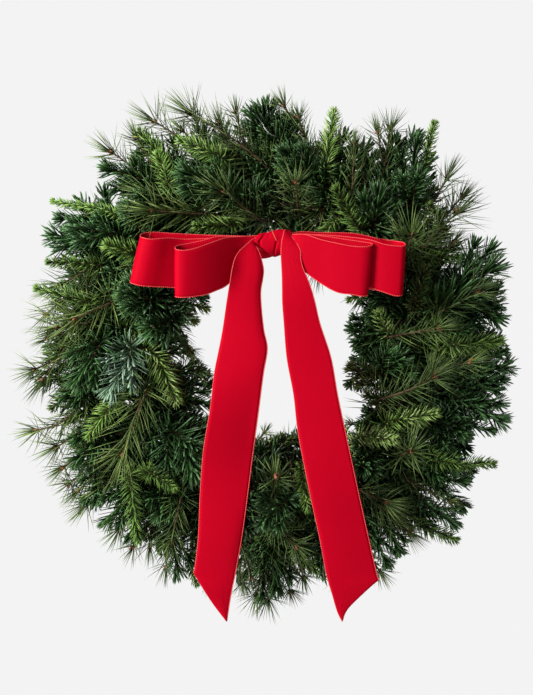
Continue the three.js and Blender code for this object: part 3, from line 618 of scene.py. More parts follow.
# A grid over a strip: its edges on smooth curves, curled across and pleated where it is gathered.
def stripGrid(rows, steps, curl, gather):
    edges = []
    for a, b, c, d, forward, *more in rows:
        far, lift, roll = more or (forward, 0, 0)
        edges.append(np.concatenate([place(a, b, forward), place(c, d, far), [lift, roll]]))
    line = smoothRows(edges, steps)
    first, second, lift, roll = line[:, :3], line[:, 3:6], line[:, 6:7], line[:, 7:8]
    across = second - first
    out = unit(np.cross(across, np.gradient((first + second) / 2, axis=0)))
    gathered = np.clip(bow["loose"] - np.linalg.norm(across, axis=1) / bow["width"], 0, 1) * gather
    share = np.linspace(0, 1, bow["strips"] + 1)
    waves = np.sin(2 * math.pi * bow["pleats"] * share + bow["pleatStart"]) * np.sin(math.pi * share) ** 0.5
    rise = gathered[:, None] ** 1.5 * waves[None, :] * bow["pleatDepth"]
    rise += curl * (4 * share * (1 - share))[None, :]
    rise += roll * np.clip((share - bow["curlFrom"]) / (1 - bow["curlFrom"]), 0, 1) ** 2
    rise -= lift * np.clip(1 - share / bow["curlTo"], 0, 1) ** 2
    grid = first[:, None] + across[:, None] * share[None, :, None] + out[:, None] * rise[:, :, None]
    strides = np.linalg.norm(np.diff(grid[:, len(share) // 2], axis=0), axis=1)
    lengths = np.concatenate([[0], np.cumsum(strides)])
    uv = np.stack(np.broadcast_arrays(lengths[:, None], share[None, :] * bow["width"]), axis=2)
    return grid, uv


# A thin closed sheet of cloth from a grid, which may run all the way round in its second direction.
def clothPiece(name, grid, uv, wrapped=False):
    if wrapped:
        around = np.roll(grid, -1, axis=1) - np.roll(grid, 1, axis=1)
    else:
        around = np.gradient(grid, axis=1)
    lift = unit(np.cross(around, np.gradient(grid, axis=0))) * bow["thick"] / 2
    rows, columns = grid.shape[:2]
    near = np.arange(rows * columns).reshape(rows, columns)
    far = near + rows * columns
    pairs = [(j, (j + 1) % columns) for j in range(columns if wrapped else columns - 1)]
    faces = []
    for i in range(rows - 1):
        for j, k in pairs:
            faces.append((near[i, j], near[i + 1, j], near[i + 1, k], near[i, k]))
            faces.append((far[i, j], far[i, k], far[i + 1, k], far[i + 1, j]))
    for j, k in pairs:
        faces.append((near[0, j], near[0, k], far[0, k], far[0, j]))
        faces.append((near[-1, j], far[-1, j], far[-1, k], near[-1, k]))
    if not wrapped:
        for i in range(rows - 1):
            faces.append((near[i, 0], far[i, 0], far[i + 1, 0], near[i + 1, 0]))
            faces.append((near[i, -1], near[i + 1, -1], far[i + 1, -1], far[i, -1]))
    made = meshObject(name, np.vstack([(grid + lift).reshape(-1, 3), (grid - lift).reshape(-1, 3)]), faces)
    mesh = made.data
    mesh.materials.append(redRibbon)
    mesh.shade_smooth()
    corner = np.empty(len(mesh.loops), np.int32)
    mesh.loops.foreach_get("vertex_index", corner)
    flat = np.vstack([uv.reshape(-1, 2)] * 2)[corner]
    mesh.uv_layers.new(name="cloth").data.foreach_set("uv", flat.astype(np.float32).ravel())
    return made


# A wire or thread: a round tube along each line, with beads on it where the bead isn't 0.
def threadTree():
    tree = bpy.data.node_groups.new("thread", "GeometryNodeTree")
    net = Net(tree)
    given = net.given([
        ("Lines", "NodeSocketGeometry", None),
        ("Radius", "NodeSocketFloat", 0.0006),
        ("Sides", "NodeSocketInt", 8),
        ("Pitch", "NodeSocketFloat", 0.002),
        ("Bead", "NodeSocketFloat", 0.0),
        ("Bead Length", "NodeSocketFloat", 0.4),
        ("Finish", "NodeSocketMaterial", None),
        ("Bead Finish", "NodeSocketMaterial", None),
    ])
    curve = net.add("GeometryNodeMeshToCurve", {}, [given["Lines"]])
    spots = net.spaced(curve, given["Pitch"])
    ball = net.add("GeometryNodeMeshIcoSphere", {}, {"Radius": 1.0, "Subdivisions": 1})
    wide = given["Bead"]
    size = net.combined(wide, wide, given["Pitch"] * given["Bead Length"])
    beads = net.copies(ball, spots, spots.twin("Rotation"), size, given["Bead Finish"], wide > 0.0)
    tube = net.tube(curve, given["Sides"], given["Radius"], 1.0, given["Finish"])
    net.result(net.add("GeometryNodeSetShadeSmooth", {}, [net.join(tube, beads)]))
    return tree


thread = threadTree()


def threadPiece(name, lines, radius, finish, sides=8, closed=False, bead=0.0, pitch=0.002):
    source = chains(name + " lines", lines, closed=closed)
    values = {"Radius": radius, "Sides": sides, "Finish": plain[finish], "Bead": bead, "Pitch": pitch}
    values |= {"Bead Length": bow["stitch"][1], "Bead Finish": plain["ribbon edging stitch"]}
    return grown(name, source, thread, values)


def edgingPiece(name, lines):
    radius, bead = bow["edgingRadius"], bow["edgingRadius"] * bow["stitch"][0]
    return threadPiece(name, lines, radius, "ribbon edging thread", 6, bead=bead, pitch=bow["stitchPitch"])


def hem(edge, row):  # a ribbon's stitched edge, down to the row where its end is cut off
    return edge[edge[:, 2] > place(0, row, bow["endForward"])[2]]


# Each strip: its stations, the steps along it, how far its middle bulges, how much it is gathered
# and the rows where its two stitched edges end, if they are cut off.
uncut = photo["down"]
strips = {
    "bow_back_loops": ("backLoops", 260, 0.0006, 1.0, uncut, uncut),
    "bow_front_loops": ("frontLoops", 240, 0.0006, 1.0, uncut, uncut),
    "bow_tail_left": ("leftTail", 170, -0.0012, 0.25, 572.8, uncut),
    "bow_tail_right": ("rightTail", 180, -0.0006, 0.25, uncut, 579.6),
}
bowPieces, bowEdgings, flatSizes = {}, {}, {}
for name, (stations, steps, curl, gather, leftEnd, rightEnd) in strips.items():
    grid, uv = stripGrid(bow[stations], steps, curl, gather)
    bowPieces[name] = clothPiece(name.replace("bow", "ribbon"), grid, uv)
    hems = [hem(grid[:, 0], leftEnd), hem(grid[:, -1], rightEnd)]
    bowEdgings[name] = edgingPiece(name.replace("bow", "edging"), hems)
    flatSizes[name] = (bow["width"], float(uv[-1, 0, 0]))
    print(name, "is", round(flatSizes[name][1], 3), "m long")

# The knot: a short sleeve of ribbon round the pinched loops, with folds across its front.
knot = {
    "columns": (254, 291),
    "top": [
        (254, 238.5), (259.4, 233.6), (265.8, 232.9), (272.8, 230.9), (278, 229.7), (285, 229.6), (291, 231),
    ],
    "bottom": [
        (254, 253.5), (261.4, 258.6), (265.8, 258.3), (269.6, 257.4),
        (272.2, 256.4), (275.4, 256.9), (279.2, 255.4), (291, 254.5),
    ],
    "back": 0.0965,
    "front": 0.1255,
    "squareness": 2.7,
    "faces": (56, 120),  # across it and round it
    "clothPerColumn": 0.0016,
    "foldsFrom": 1.6,  # the higher, the nearer to its edges the folds begin
    "softEnd": 1.5,  # columns over which a groove's ends fade
    "softSide": 1.2,  # columns over which the pocket's edge fades
    "grooves": [  # from, to, depth, half width in columns
        ((266.5, 232.0), (259.4, 241.5), 0.0022, 0.9),
        ((259.4, 241.5), (260.6, 247.5), 0.0022, 0.9),
        ((276.2, 242.5), (273.6, 256.0), 0.0026, 0.8),
        ((270.5, 230.5), (268.5, 237.0), 0.0009, 0.7),
    ],
    "pocket": ((260.2, 246.4), (273.2, 256.2), 0.0062),  # the cloth sinks in below this line
}


def knotGrid():
    across, around = knot["faces"]
    columns = np.linspace(*knot["columns"], across + 1)
    top = np.interp(columns, *zip(*knot["top"]))
    bottom = np.interp(columns, *zip(*knot["bottom"]))
    turn = np.linspace(0, 2 * math.pi, around, endpoint=False)
    waves = (np.sin(turn), np.cos(turn))
    up, out = [np.sign(wave) * np.abs(wave) ** (2 / knot["squareness"]) for wave in waves]
    middle, half = (knot["front"] + knot["back"]) / 2, (knot["front"] - knot["back"]) / 2
    grid = np.empty((across + 1, around, 3))
    for i, column in enumerate(columns):
        for j in range(around):
            row = (top[i] + bottom[i]) / 2 - up[j] * (bottom[i] - top[i]) / 2
            forward = middle + half * out[j]
            if out[j] > 0:
                forward += foldRise(column, row) * min(1.0, knot["foldsFrom"] * out[j])
            grid[i, j] = place(column, row, forward)
    strides = np.linalg.norm(np.roll(grid, -1, axis=1) - grid, axis=2).mean(axis=0)
    lengths = np.concatenate([[0], np.cumsum(strides)[:-1]])
    widths = (columns - columns[0]) * knot["clothPerColumn"]
    uv = np.stack(np.broadcast_arrays(lengths[None, :], widths[:, None]), axis=2)
    return grid, uv, float(strides.sum())


def besideLine(column, row, start, end):  # along and away from a line, and its length, in columns
    dx, dy = end[0] - start[0], end[1] - start[1]
    length = math.hypot(dx, dy)
    px, py = column - start[0], row - start[1]
    return (px * dx + py * dy) / length, (px * dy - py * dx) / length, length


def foldRise(column, row):
    rise = 0.0
    for start, end, depth, width in knot["grooves"]:
        along, away, length = besideLine(column, row, start, end)
        beyond = max(0.0, -along, along - length)
        rise -= depth * math.exp(-((away / width) ** 2) - (beyond / knot["softEnd"]) ** 2)
    start, end, depth = knot["pocket"]
    along, away, length = besideLine(column, row, start, end)
    below = min(1.0, max(0.0, 0.5 - away / knot["softSide"]))
    beside = min(1.0, max(0.0, 0.5 + (length - along) / (2 * knot["softEnd"])))
    return rise - depth * below * beside


grid, uv, roundKnot = knotGrid()
bowPieces["bow_knot"] = clothPiece("ribbon_knot", grid, uv, wrapped=True)
flatSizes["bow_knot"] = (bow["width"], roundKnot)
print("bow made")

# The wires at the back: the frame's rings and crossbars, the winding, the hanging loop and the bow's tie.
wires = {
    "rails": {"fir": 0.196, "pine": 0.207, "spruce": 0.218},
    "railRadius": 0.0016,
    "railForward": 0.003,
    "railPoints": 160,
    "bars": 8,
    "bar": (0.032, 0.0016, 0.007),  # length, thickness and width
    "barBevel": 0.0005,
    "stemForward": 0.0077,
    "stemRadius": 0.0028,
    "places": 16,
    "loop": [
        (0, 0.0006, 0.218), (-0.003, 0.0009, 0.2225), (-0.0065, 0.0012, 0.229), (-0.0048, 0.0012, 0.2346),
        (0, 0.0012, 0.2375), (0.0048, 0.0012, 0.2346), (0.0065, 0.0014, 0.229), (0.0026, 0.0032, 0.223),
        (0, 0.0056, 0.2194), (0, 0.0055, 0.2166), (0, 0.003, 0.2151), (0, 0.0011, 0.216),
    ],
    "tieStart": (272, 244.5, 0.0007),  # column and row, and how far behind the knot's back
    "tie": [
        (0, 0.06, 0.162), (0, 0.016, 0.188), (0, 0.0055, 0.1938), (0, 0.003, 0.193), (0, 0.0009, 0.1947),
        (0, 0.0009, 0.1973), (0, 0.003, 0.199), (0, 0.0056, 0.1974),
    ],
    "thin": 0.0005,
    "bendSteps": 90,
}
winding = {
    "radius": 0.00045,
    "turnsPerPlace": 3,
    "steps": 28,  # round each turn
    "slack": 0.0003,  # between it and the stems
    "wallGap": 0.0002,
    "low": 0.003,  # how far forward it starts to turn in behind the rails
    "corner": 0.0014,  # out from the outer rails, at the back
    "inward": 0.0009,  # further out on the side of the hole
}


def barMesh(name):
    long, thick, wide = wires["bar"]
    cut, half = wires["barBevel"], wide / 2
    section = [
        (cut - half, 0), (half - cut, 0), (half, cut), (half, thick - cut),
        (half - cut, thick), (cut - half, thick), (-half, thick - cut), (-half, cut),
    ]
    count = len(section)
    points, faces = [], []
    for i in range(wires["bars"]):
        angle = (i + 0.5) * 2 * math.pi / wires["bars"]
        radial = np.array([math.cos(angle), 0, math.sin(angle)])
        sideways = np.array([-math.sin(angle), 0, math.cos(angle)])
        low = [len(points) + k for k in range(count)]
        high = [k + count for k in low]
        for end in (-long / 2, long / 2):
            middle = radial * (wires["rails"]["pine"] + end)
            points += [middle + sideways * across + np.array([0, -forward, 0]) for across, forward in section]
        faces += [(low[k], low[(k + 1) % count], high[(k + 1) % count], high[k]) for k in range(count)]
        faces += [low[::-1], high]
    made = meshObject(name, points, faces)
    made.data.materials.append(plain["green painted wire"])
    return made


def joined(name, objects):
    with bpy.context.temp_override(active_object=objects[0], selected_editable_objects=objects):
        bpy.ops.object.join()
    objects[0].name = objects[0].data.name = name
    return objects[0]


def railRing(radius):
    turns = np.linspace(0, 2 * math.pi, wires["railPoints"], endpoint=False)
    return [onRing(turn, radius, wires["railForward"]) for turn in turns]


rails = [railRing(radius) for radius in wires["rails"].values()]
ringsPiece = threadPiece("rings", rails, wires["railRadius"], "green painted wire", 12, closed=True)
framePiece = joined("wire_frame_rings", [ringsPiece, barMesh("bars")])


def windingLine():
    half = (wires["rails"]["spruce"] - wires["rails"]["fir"]) / 2
    reach = wires["stemRadius"] + winding["radius"] + winding["slack"]
    stem, low = wires["stemForward"], winding["low"]
    front, back = stem + reach, winding["radius"] + winding["wallGap"]
    outer, inner, corner = half + reach, -half - reach - winding["inward"], half + winding["corner"]
    section = [
        (half, front), (outer, stem), (outer, low), (corner, back),
        (-corner, back), (inner, low), (inner, stem), (-half, front),
    ]
    turns = wires["places"] * winding["turnsPerPlace"]
    rounds = smoothRows(section, winding["steps"], closed=True)
    line = []
    for turn in range(turns):
        for k, (out, forward) in enumerate(rounds):
            angle = math.pi / 2 - 2 * math.pi * (turn + k / len(rounds)) / turns
            line.append(onRing(angle, wires["rails"]["pine"] + out, max(back, forward)))
    return line


def bentWire(name, route, closed):
    points = smoothRows([(x, -forward, z) for x, forward, z in route], wires["bendSteps"], closed=closed)
    return threadPiece(name, [points], wires["thin"], "zinc wire", 10, closed=closed)


bindingPiece = threadPiece("binding_winding", [windingLine()], winding["radius"], "zinc wire", 6, closed=True)
loopPiece = bentWire("hanging_wire_loop", wires["loop"], True)
column, row, behind = wires["tieStart"]
tieX, tieY, tieZ = place(column, row, knot["back"] - behind)
tiePiece = bentWire("bow_tie", [(tieX, -tieY, tieZ), *wires["tie"]], False)

# Two thin lines that the photograph shows: a wire's bent end in the top, and a dry needle on the knot.
strays = {
    "stray_wire_end": {
        "spots": [
            (256, 114, 0.060), (261, 122, 0.082), (269, 133, 0.090), (276, 136.5, 0.088), (284, 138, 0.066),
        ],
        "steps": 30, "radius": 0.0004, "finish": "zinc wire", "sides": 6,
    },
    "dry_needle": {
        "spots": [(271.3, 229.4, 0.1262), (273.6, 234.4, 0.1278), (276.2, 240.2, 0.1268)],
        "steps": 8, "radius": 0.0003, "finish": "dry needle", "sides": 5,
    },
}
strayPieces = {}
for name, stray in strays.items():
    line = smoothRows([place(*spot) for spot in stray["spots"]], stray["steps"])
    strayPieces[name] = threadPiece(name, [line], stray["radius"], stray["finish"], stray["sides"])
print("wires made")

# How each kind grows. Lengths are in metres; lean is the angle from twig to needle.
kinds = {
    "pine": {
        "Spacing": 0.0014, "Width": 0.0013, "Thick": 0.0009, "Curl": 0.002, "Lean": 0.85, "Tip Lean": 0.82,
        "Loose": 0.2, "Tip Loose": 0.6, "Tip Length": 1.0, "Blunt": 0.5, "Tuft": 12, "Bare": 0.34,
        "bud": 0.0024, "girth": (0.0018, 0.001), "sides": 0, "needle": 1.07, "end": 0.0,
    },
    "fir": {
        "Spacing": 0.00104, "Width": 0.0032, "Thick": 0.001, "Curl": 0.0002, "Lean": 0.92, "Tip Lean": 0.64,
        "Loose": 0.08, "Tip Loose": 0.26, "Tip Length": 0.86, "Blunt": 0.82, "Tuft": 9, "Bare": 0.28,
        "bud": 0.0013, "girth": (0.002, 0.0009), "sides": 2, "needle": 1.06, "end": 0.35,
    },
    "spruce": {
        "Spacing": 0.00056, "Width": 0.0022, "Thick": 0.0014, "Curl": 0.0018, "Lean": 1.16, "Tip Lean": 0.74,
        "Loose": 0.13, "Tip Loose": 0.2, "Tip Length": 0.5, "Blunt": 0.6, "Tuft": 3, "Bare": 0.3,
        "bud": 0.001, "girth": (0.002, 0.0009), "sides": 0, "needle": 1.42, "end": 0.2,
    },
}
foliage = {
    "rim": 0.030,
    "crest": 0.086,
    "middle": 0.2,  # of the ring, where the foliage is deepest
    "halfWidth": 0.118,
    "least": 0.012,
    "behindLoops": (124, 411, 226, 302, 0.085),  # columns and rows of the bow's loops, and how far forward
    "behindTails": (186, 386, 302, 695, 0.1),
    "tipForward": 0.008,
    "needleShare": 0.25,  # of the last needles, counted in how far a listed spray reaches
    "nearAngle": 0.15,
    "plainOutline": 0.25,  # where no listed spray is near
    "seed": 7,
    "clear": [  # no filler ends here: column, row and how far each way
        (352, 402, 34, 44), (436, 136, 18, 22), (90, 150, 22, 34), (28, 236, 24, 40), (424, 558, 26, 26),
        (272, 259, 30, 24), (344, 306, 26, 18), (312, 118, 16, 20), (92, 180, 16, 22), (203, 345, 18, 34),
        (272, 424, 22, 12), (402, 112, 30, 22), (448, 154, 18, 22), (484, 206, 22, 40), (480, 500, 20, 24),
        (386, 126, 24, 22), (464, 240, 14, 12), (482, 448, 20, 18), (470, 508, 14, 14),
    ],
}
# Each layer: the shares of the foliage's depth at which a spray starts and ends, and how dense it is.
layers = {
    "back": (0.2, 0.3, 0.6),
    "deep": (0.42, 0.5, 1.0),
    "mid": (0.66, 0.75, 1.0),
    "front": (0.88, 0.98, 1.3),
    "crown": (0.94, 1.14, 1.3),
    "toward": (0.6, 1.22, 1.3),
}

# Sprays as read off the photograph, in its columns and rows: where each comes into view, any bend,
# and its tip, then the length of its needles in columns, its layer and its tone.
sprays = {
    "pine": [
        ([(195, 150), (156, 122)], 35, "mid", 0.50),
        ([(135, 170), (113, 153)], 32, "mid", 0.52),
        ([(207, 213), (155, 211)], 38, "front", 0.60),
        ([(190, 205), (148, 194)], 32, "mid", 0.48),
        ([(268, 168), (240, 144), (192, 114)], 37, "mid", 0.42),
        ([(246, 150), (236, 114)], 22, "mid", 0.40),
        ([(318, 162), (285, 107)], 24, "mid", 0.45),
        ([(352, 195), (354, 147)], 21, "front", 0.48),
        ([(268, 222), (226, 193)], 38, "front", 0.48),
        ([(300, 215), (296, 184)], 30, "toward", 0.40),
        ([(380, 186), (390, 131)], 29, "mid", 0.44),
        ([(428, 210), (446, 179)], 31, "mid", 0.42),
        ([(425, 245), (455, 214)], 40, "front", 0.42),
        ([(430, 262), (452, 244)], 21, "mid", 0.40),
        ([(405, 254), (412, 236)], 42, "toward", 0.48),
        ([(98, 266), (61, 284)], 35, "mid", 0.48),
        ([(112, 302), (77, 318)], 42, "front", 0.62),
        ([(95, 322), (59, 327)], 40, "mid", 0.48),
        ([(75, 338), (44, 378)], 31, "mid", 0.48),
        ([(82, 348), (36, 369)], 30, "mid", 0.55),
        ([(436, 226), (460, 199)], 28, "mid", 0.42),
        ([(238, 552), (243, 583)], 20, "mid", 0.36),
        ([(280, 562), (290, 590)], 20, "mid", 0.36),
        ([(92, 397), (60, 423), (38, 430)], 30, "mid", 0.58),
        ([(98, 425), (58, 446)], 32, "mid", 0.50),
        ([(148, 384), (136, 415), (124, 451)], 42, "crown", 0.68),
        ([(90, 448), (64, 467)], 26, "mid", 0.50),
        ([(120, 470), (86, 504)], 29, "mid", 0.55),
        ([(135, 508), (119, 529)], 27, "mid", 0.48),
        ([(180, 502), (172, 539)], 30, "front", 0.48),
        ([(250, 452), (264, 433)], 13, "mid", 0.48),
        ([(272, 505), (276, 478)], 30, "toward", 0.48),
        ([(275, 522), (295, 545)], 33, "front", 0.48),
        ([(240, 538), (251, 575)], 23, "mid", 0.30),
        ([(262, 562), (257, 594)], 26, "mid", 0.38),
        ([(295, 545), (303, 576)], 22, "mid", 0.35),
        ([(385, 338), (436, 329)], 32, "crown", 0.46),
        ([(440, 312), (477, 293)], 35, "crown", 0.46),
        ([(430, 372), (468, 363)], 32, "crown", 0.46),
        ([(375, 403), (409, 390), (432, 378)], 38, "crown", 0.48),
        ([(395, 458), (411, 451)], 36, "toward", 0.48),
        ([(405, 478), (449, 500)], 17, "mid", 0.48),
        ([(360, 490), (384, 502)], 36, "front", 0.48),
        ([(370, 500), (392, 513)], 36, "mid", 0.48),
        ([(385, 515), (407, 531)], 28, "mid", 0.48),
        ([(362, 545), (379, 570)], 24, "mid", 0.46),
        ([(215, 540), (212, 572)], 28, "mid", 0.48),
        ([(338, 530), (345, 572)], 28, "mid", 0.48),
        ([(66, 298), (48, 313)], 31, "mid", 0.50),
        ([(234, 152), (220, 124)], 24, "mid", 0.42),
        ([(154, 168), (137, 139)], 24, "mid", 0.45),
        ([(312, 160), (299, 119)], 22, "mid", 0.42),
        ([(74, 330), (50, 338)], 22, "mid", 0.50),
        ([(168, 538), (166, 565)], 24, "mid", 0.40),
        ([(178, 326), (189, 350)], 18, "front", 0.46),
        ([(182, 350), (201, 372)], 18, "front", 0.50),
        ([(372, 430), (352, 424)], 14, "mid", 0.40),
        ([(384, 176), (378, 135)], 24, "mid", 0.42),
        ([(104, 460), (70, 483)], 24, "mid", 0.48),
        ([(144, 530), (134, 546)], 24, "mid", 0.45),
        ([(270, 556), (268, 598)], 28, "mid", 0.42),
        ([(104, 468), (80, 489)], 27, "mid", 0.50),
        ([(152, 524), (150, 545)], 25, "mid", 0.45),
        ([(102, 416), (82, 436)], 24, "mid", 0.52),
        ([(86, 290), (65, 299)], 25, "mid", 0.50),
        ([(205, 152), (183, 131)], 20, "mid", 0.42),
    ],
    "fir": [
        ([(150, 184), (106, 168)], 21, "mid", 0.36),
        ([(95, 245), (51, 235)], 24, "mid", 0.50),
        ([(115, 235), (72, 227)], 22, "front", 0.48),
        ([(150, 215), (125, 207)], 20, "front", 0.33),
        ([(232, 192), (183, 172)], 25, "front", 0.40),
        ([(285, 150), (252, 112)], 25, "mid", 0.28),
        ([(275, 150), (262, 105)], 25, "deep", 0.28),
        ([(330, 200), (322, 165)], 22, "mid", 0.33),
        ([(310, 175), (285, 150)], 22, "front", 0.33),
        ([(405, 205), (418, 140)], 22, "mid", 0.33),
        ([(405, 215), (417, 180)], 20, "toward", 0.33),
        ([(375, 228), (379, 190)], 24, "front", 0.33),
        ([(442, 304), (495, 265)], 32, "front", 0.40),
        ([(100, 345), (76, 385)], 22, "front", 0.42),
        ([(133, 348), (110, 393)], 25, "front", 0.92),
        ([(100, 382), (63, 396)], 20, "mid", 0.33),
        ([(152, 300), (122, 292)], 26, "front", 0.55),
        ([(175, 318), (148, 330)], 25, "front", 0.56),
        ([(163, 302), (186, 317)], 20, "mid", 0.78),
        ([(160, 345), (183, 340)], 14, "mid", 0.48),
        ([(168, 375), (201, 371)], 18, "mid", 0.48),
        ([(175, 400), (212, 405)], 18, "mid", 0.42),
        ([(100, 440), (75, 462)], 22, "front", 0.33),
        ([(135, 490), (106, 523)], 22, "mid", 0.34),
        ([(172, 530), (178, 573)], 22, "mid", 0.33),
        ([(176, 432), (197, 475)], 28, "front", 0.52),
        ([(175, 490), (158, 518)], 22, "mid", 0.33),
        ([(287, 500), (262, 525)], 20, "front", 0.52),
        ([(274, 552), (279, 589)], 22, "mid", 0.33),
        ([(385, 335), (352, 329)], 18, "mid", 0.33),
        ([(365, 340), (382, 362)], 20, "mid", 0.50),
        ([(380, 372), (404, 357)], 25, "front", 0.46),
        ([(470, 305), (500, 320)], 22, "mid", 0.48),
        ([(480, 300), (498, 288)], 18, "mid", 0.33),
        ([(468, 374), (509, 366)], 22, "mid", 0.50),
        ([(455, 398), (502, 421)], 24, "mid", 0.50),
        ([(445, 425), (466, 436)], 18, "mid", 0.42),
        ([(375, 452), (363, 466)], 20, "toward", 0.33),
        ([(430, 455), (455, 470)], 18, "mid", 0.44),
        ([(425, 502), (455, 524)], 18, "mid", 0.56),
        ([(380, 520), (400, 551)], 18, "mid", 0.36),
        ([(370, 532), (388, 564)], 18, "mid", 0.33),
        ([(264, 566), (262, 598)], 20, "mid", 0.36),
        ([(185, 386), (213, 383)], 16, "mid", 0.50),
        ([(166, 354), (190, 352)], 14, "mid", 0.50),
        ([(184, 292), (204, 299)], 14, "mid", 0.36),
        ([(362, 372), (348, 384)], 12, "deep", 0.20),
        ([(225, 450), (222, 492)], 22, "mid", 0.50),
        ([(330, 455), (338, 500)], 22, "mid", 0.60),
        ([(456, 284), (492, 248)], 26, "mid", 0.38),
        ([(452, 420), (492, 431)], 14, "mid", 0.44),
        ([(462, 387), (497, 389)], 20, "mid", 0.44),
        ([(250, 214), (258, 188)], 24, "mid", 0.30),
        ([(168, 236), (150, 226)], 20, "mid", 0.33),
        ([(440, 478), (466, 481)], 18, "mid", 0.42),
        ([(95, 222), (59, 218)], 18, "mid", 0.36),
        ([(105, 480), (83, 501)], 18, "mid", 0.38),
        ([(140, 515), (130, 539)], 18, "mid", 0.38),
        ([(372, 360), (353, 359)], 10, "deep", 0.20),
        ([(385, 412), (366, 415)], 12, "mid", 0.30),
        ([(368, 322), (353, 318)], 12, "mid", 0.30),
        ([(440, 330), (468, 332)], 20, "mid", 0.46),
        ([(470, 377), (505, 379)], 18, "mid", 0.46),
        ([(300, 540), (322, 563)], 18, "deep", 0.30),
        ([(400, 290), (376, 301)], 16, "mid", 0.24),
        ([(384, 420), (360, 424)], 14, "mid", 0.26),
        ([(400, 498), (430, 528)], 20, "deep", 0.24),
        ([(385, 300), (370, 318)], 16, "mid", 0.40),
        ([(290, 214), (273, 226)], 18, "deep", 0.22),
        ([(292, 138), (278, 117)], 16, "deep", 0.28),
        ([(475, 353), (506, 352)], 12, "mid", 0.40),
        # These back sprays get dark tones: painted shade deep in the ring, behind the other sprays.
        ([(345, 505), (370, 530)], 26, "back", 0.16),
        ([(385, 500), (406, 520)], 26, "back", 0.16),
        ([(365, 480), (400, 500)], 26, "back", 0.14),
        ([(405, 470), (438, 488)], 26, "back", 0.16),
        ([(400, 500), (392, 530)], 26, "back", 0.14),
        ([(345, 530), (364, 552)], 26, "back", 0.16),
        ([(420, 432), (455, 444)], 26, "back", 0.16),
        ([(430, 330), (465, 350)], 26, "back", 0.18),
        ([(290, 515), (268, 545)], 26, "back", 0.14),
        ([(255, 505), (246, 545)], 26, "back", 0.14),
        ([(300, 500), (308, 540)], 26, "back", 0.14),
        ([(268, 530), (282, 566)], 26, "back", 0.16),
        ([(412, 205), (426, 180)], 26, "back", 0.16),
        ([(150, 520), (165, 545)], 26, "back", 0.16),
    ],
    "spruce": [
        ([(162, 158), (138, 131)], 12, "mid", 0.60),
        ([(170, 186), (158, 152)], 12, "front", 0.62),
        ([(128, 217), (52, 201)], 7.5, "front", 0.62),
        ([(140, 254), (105, 245)], 13, "front", 0.62),
        ([(100, 265), (47, 262)], 9, "mid", 0.42),
        ([(222, 158), (179, 140)], 12, "front", 0.70),
        ([(240, 158), (211, 150)], 9, "mid", 0.22),
        ([(326, 170), (334, 110)], 11, "front", 0.80),
        ([(362, 230), (335, 187)], 12, "front", 0.46),
        ([(236, 222), (194, 227)], 11, "front", 0.56),
        ([(290, 184), (284, 160)], 8, "mid", 0.45),
        ([(420, 172), (435, 122)], 9, "mid", 0.68),
        ([(445, 232), (430, 203)], 9, "front", 0.28),
        ([(425, 258), (462, 258)], 10, "mid", 0.60),
        ([(416, 305), (426, 266)], 11, "front", 0.20),
        ([(88, 302), (36, 288)], 11, "front", 0.50),
        ([(80, 385), (51, 409)], 11, "mid", 0.28),
        ([(115, 400), (88, 438)], 12, "front", 0.76),
        ([(150, 350), (178, 403)], 15, "front", 0.84),
        ([(178, 300), (208, 309)], 11, "mid", 0.66),
        ([(176, 308), (197, 322)], 10, "mid", 0.60),
        ([(131, 478), (138, 543)], 11, "front", 0.50),
        ([(190, 562), (197, 586)], 7, "mid", 0.60),
        ([(150, 472), (176, 489)], 10, "front", 0.52),
        ([(258, 450), (299, 438)], 9, "mid", 0.20),
        ([(268, 452), (282, 434)], 8, "mid", 0.18),
        ([(298, 553), (325, 578)], 9, "mid", 0.60),
        ([(302, 468), (308, 511)], 9, "front", 0.60),
        ([(368, 290), (348, 300)], 9, "mid", 0.55),
        ([(392, 335), (378, 311)], 11, "front", 0.78),
        ([(378, 378), (348, 368)], 14, "front", 0.08),
        ([(396, 406), (366, 394)], 13, "front", 0.10),
        ([(390, 386), (356, 384)], 12, "front", 0.08),
        ([(452, 345), (503, 341)], 13, "front", 0.70),
        ([(385, 424), (438, 413)], 13, "front", 0.80),
        ([(358, 438), (396, 439)], 13, "front", 0.95),
        ([(440, 461), (495, 464)], 10, "front", 0.62),
        ([(415, 521), (457, 540)], 11, "mid", 0.58),
    ],
}


def mound(radius):
    off = (radius - foliage["middle"]) / foliage["halfWidth"]
    return foliage["rim"] + (foliage["crest"] - foliage["rim"]) * max(0.0, 1 - off * off)


def radiusOf(point):
    return math.hypot(point[0], point[2])


# Foliage stays behind the bow where the bow covers it.
def keptBack(column, row, forward):
    for left, right, top, bottom, most in (foliage["behindLoops"], foliage["behindTails"]):
        if left < column < right and top < row < bottom:
            return min(forward, most)
    return forward


def spotAt(spot, share, extra=0.0):
    forward = mound(radiusOf(place(*spot, photo["middle"]))) * share + extra
    return place(*spot, keptBack(*spot, max(foliage["least"], forward)))


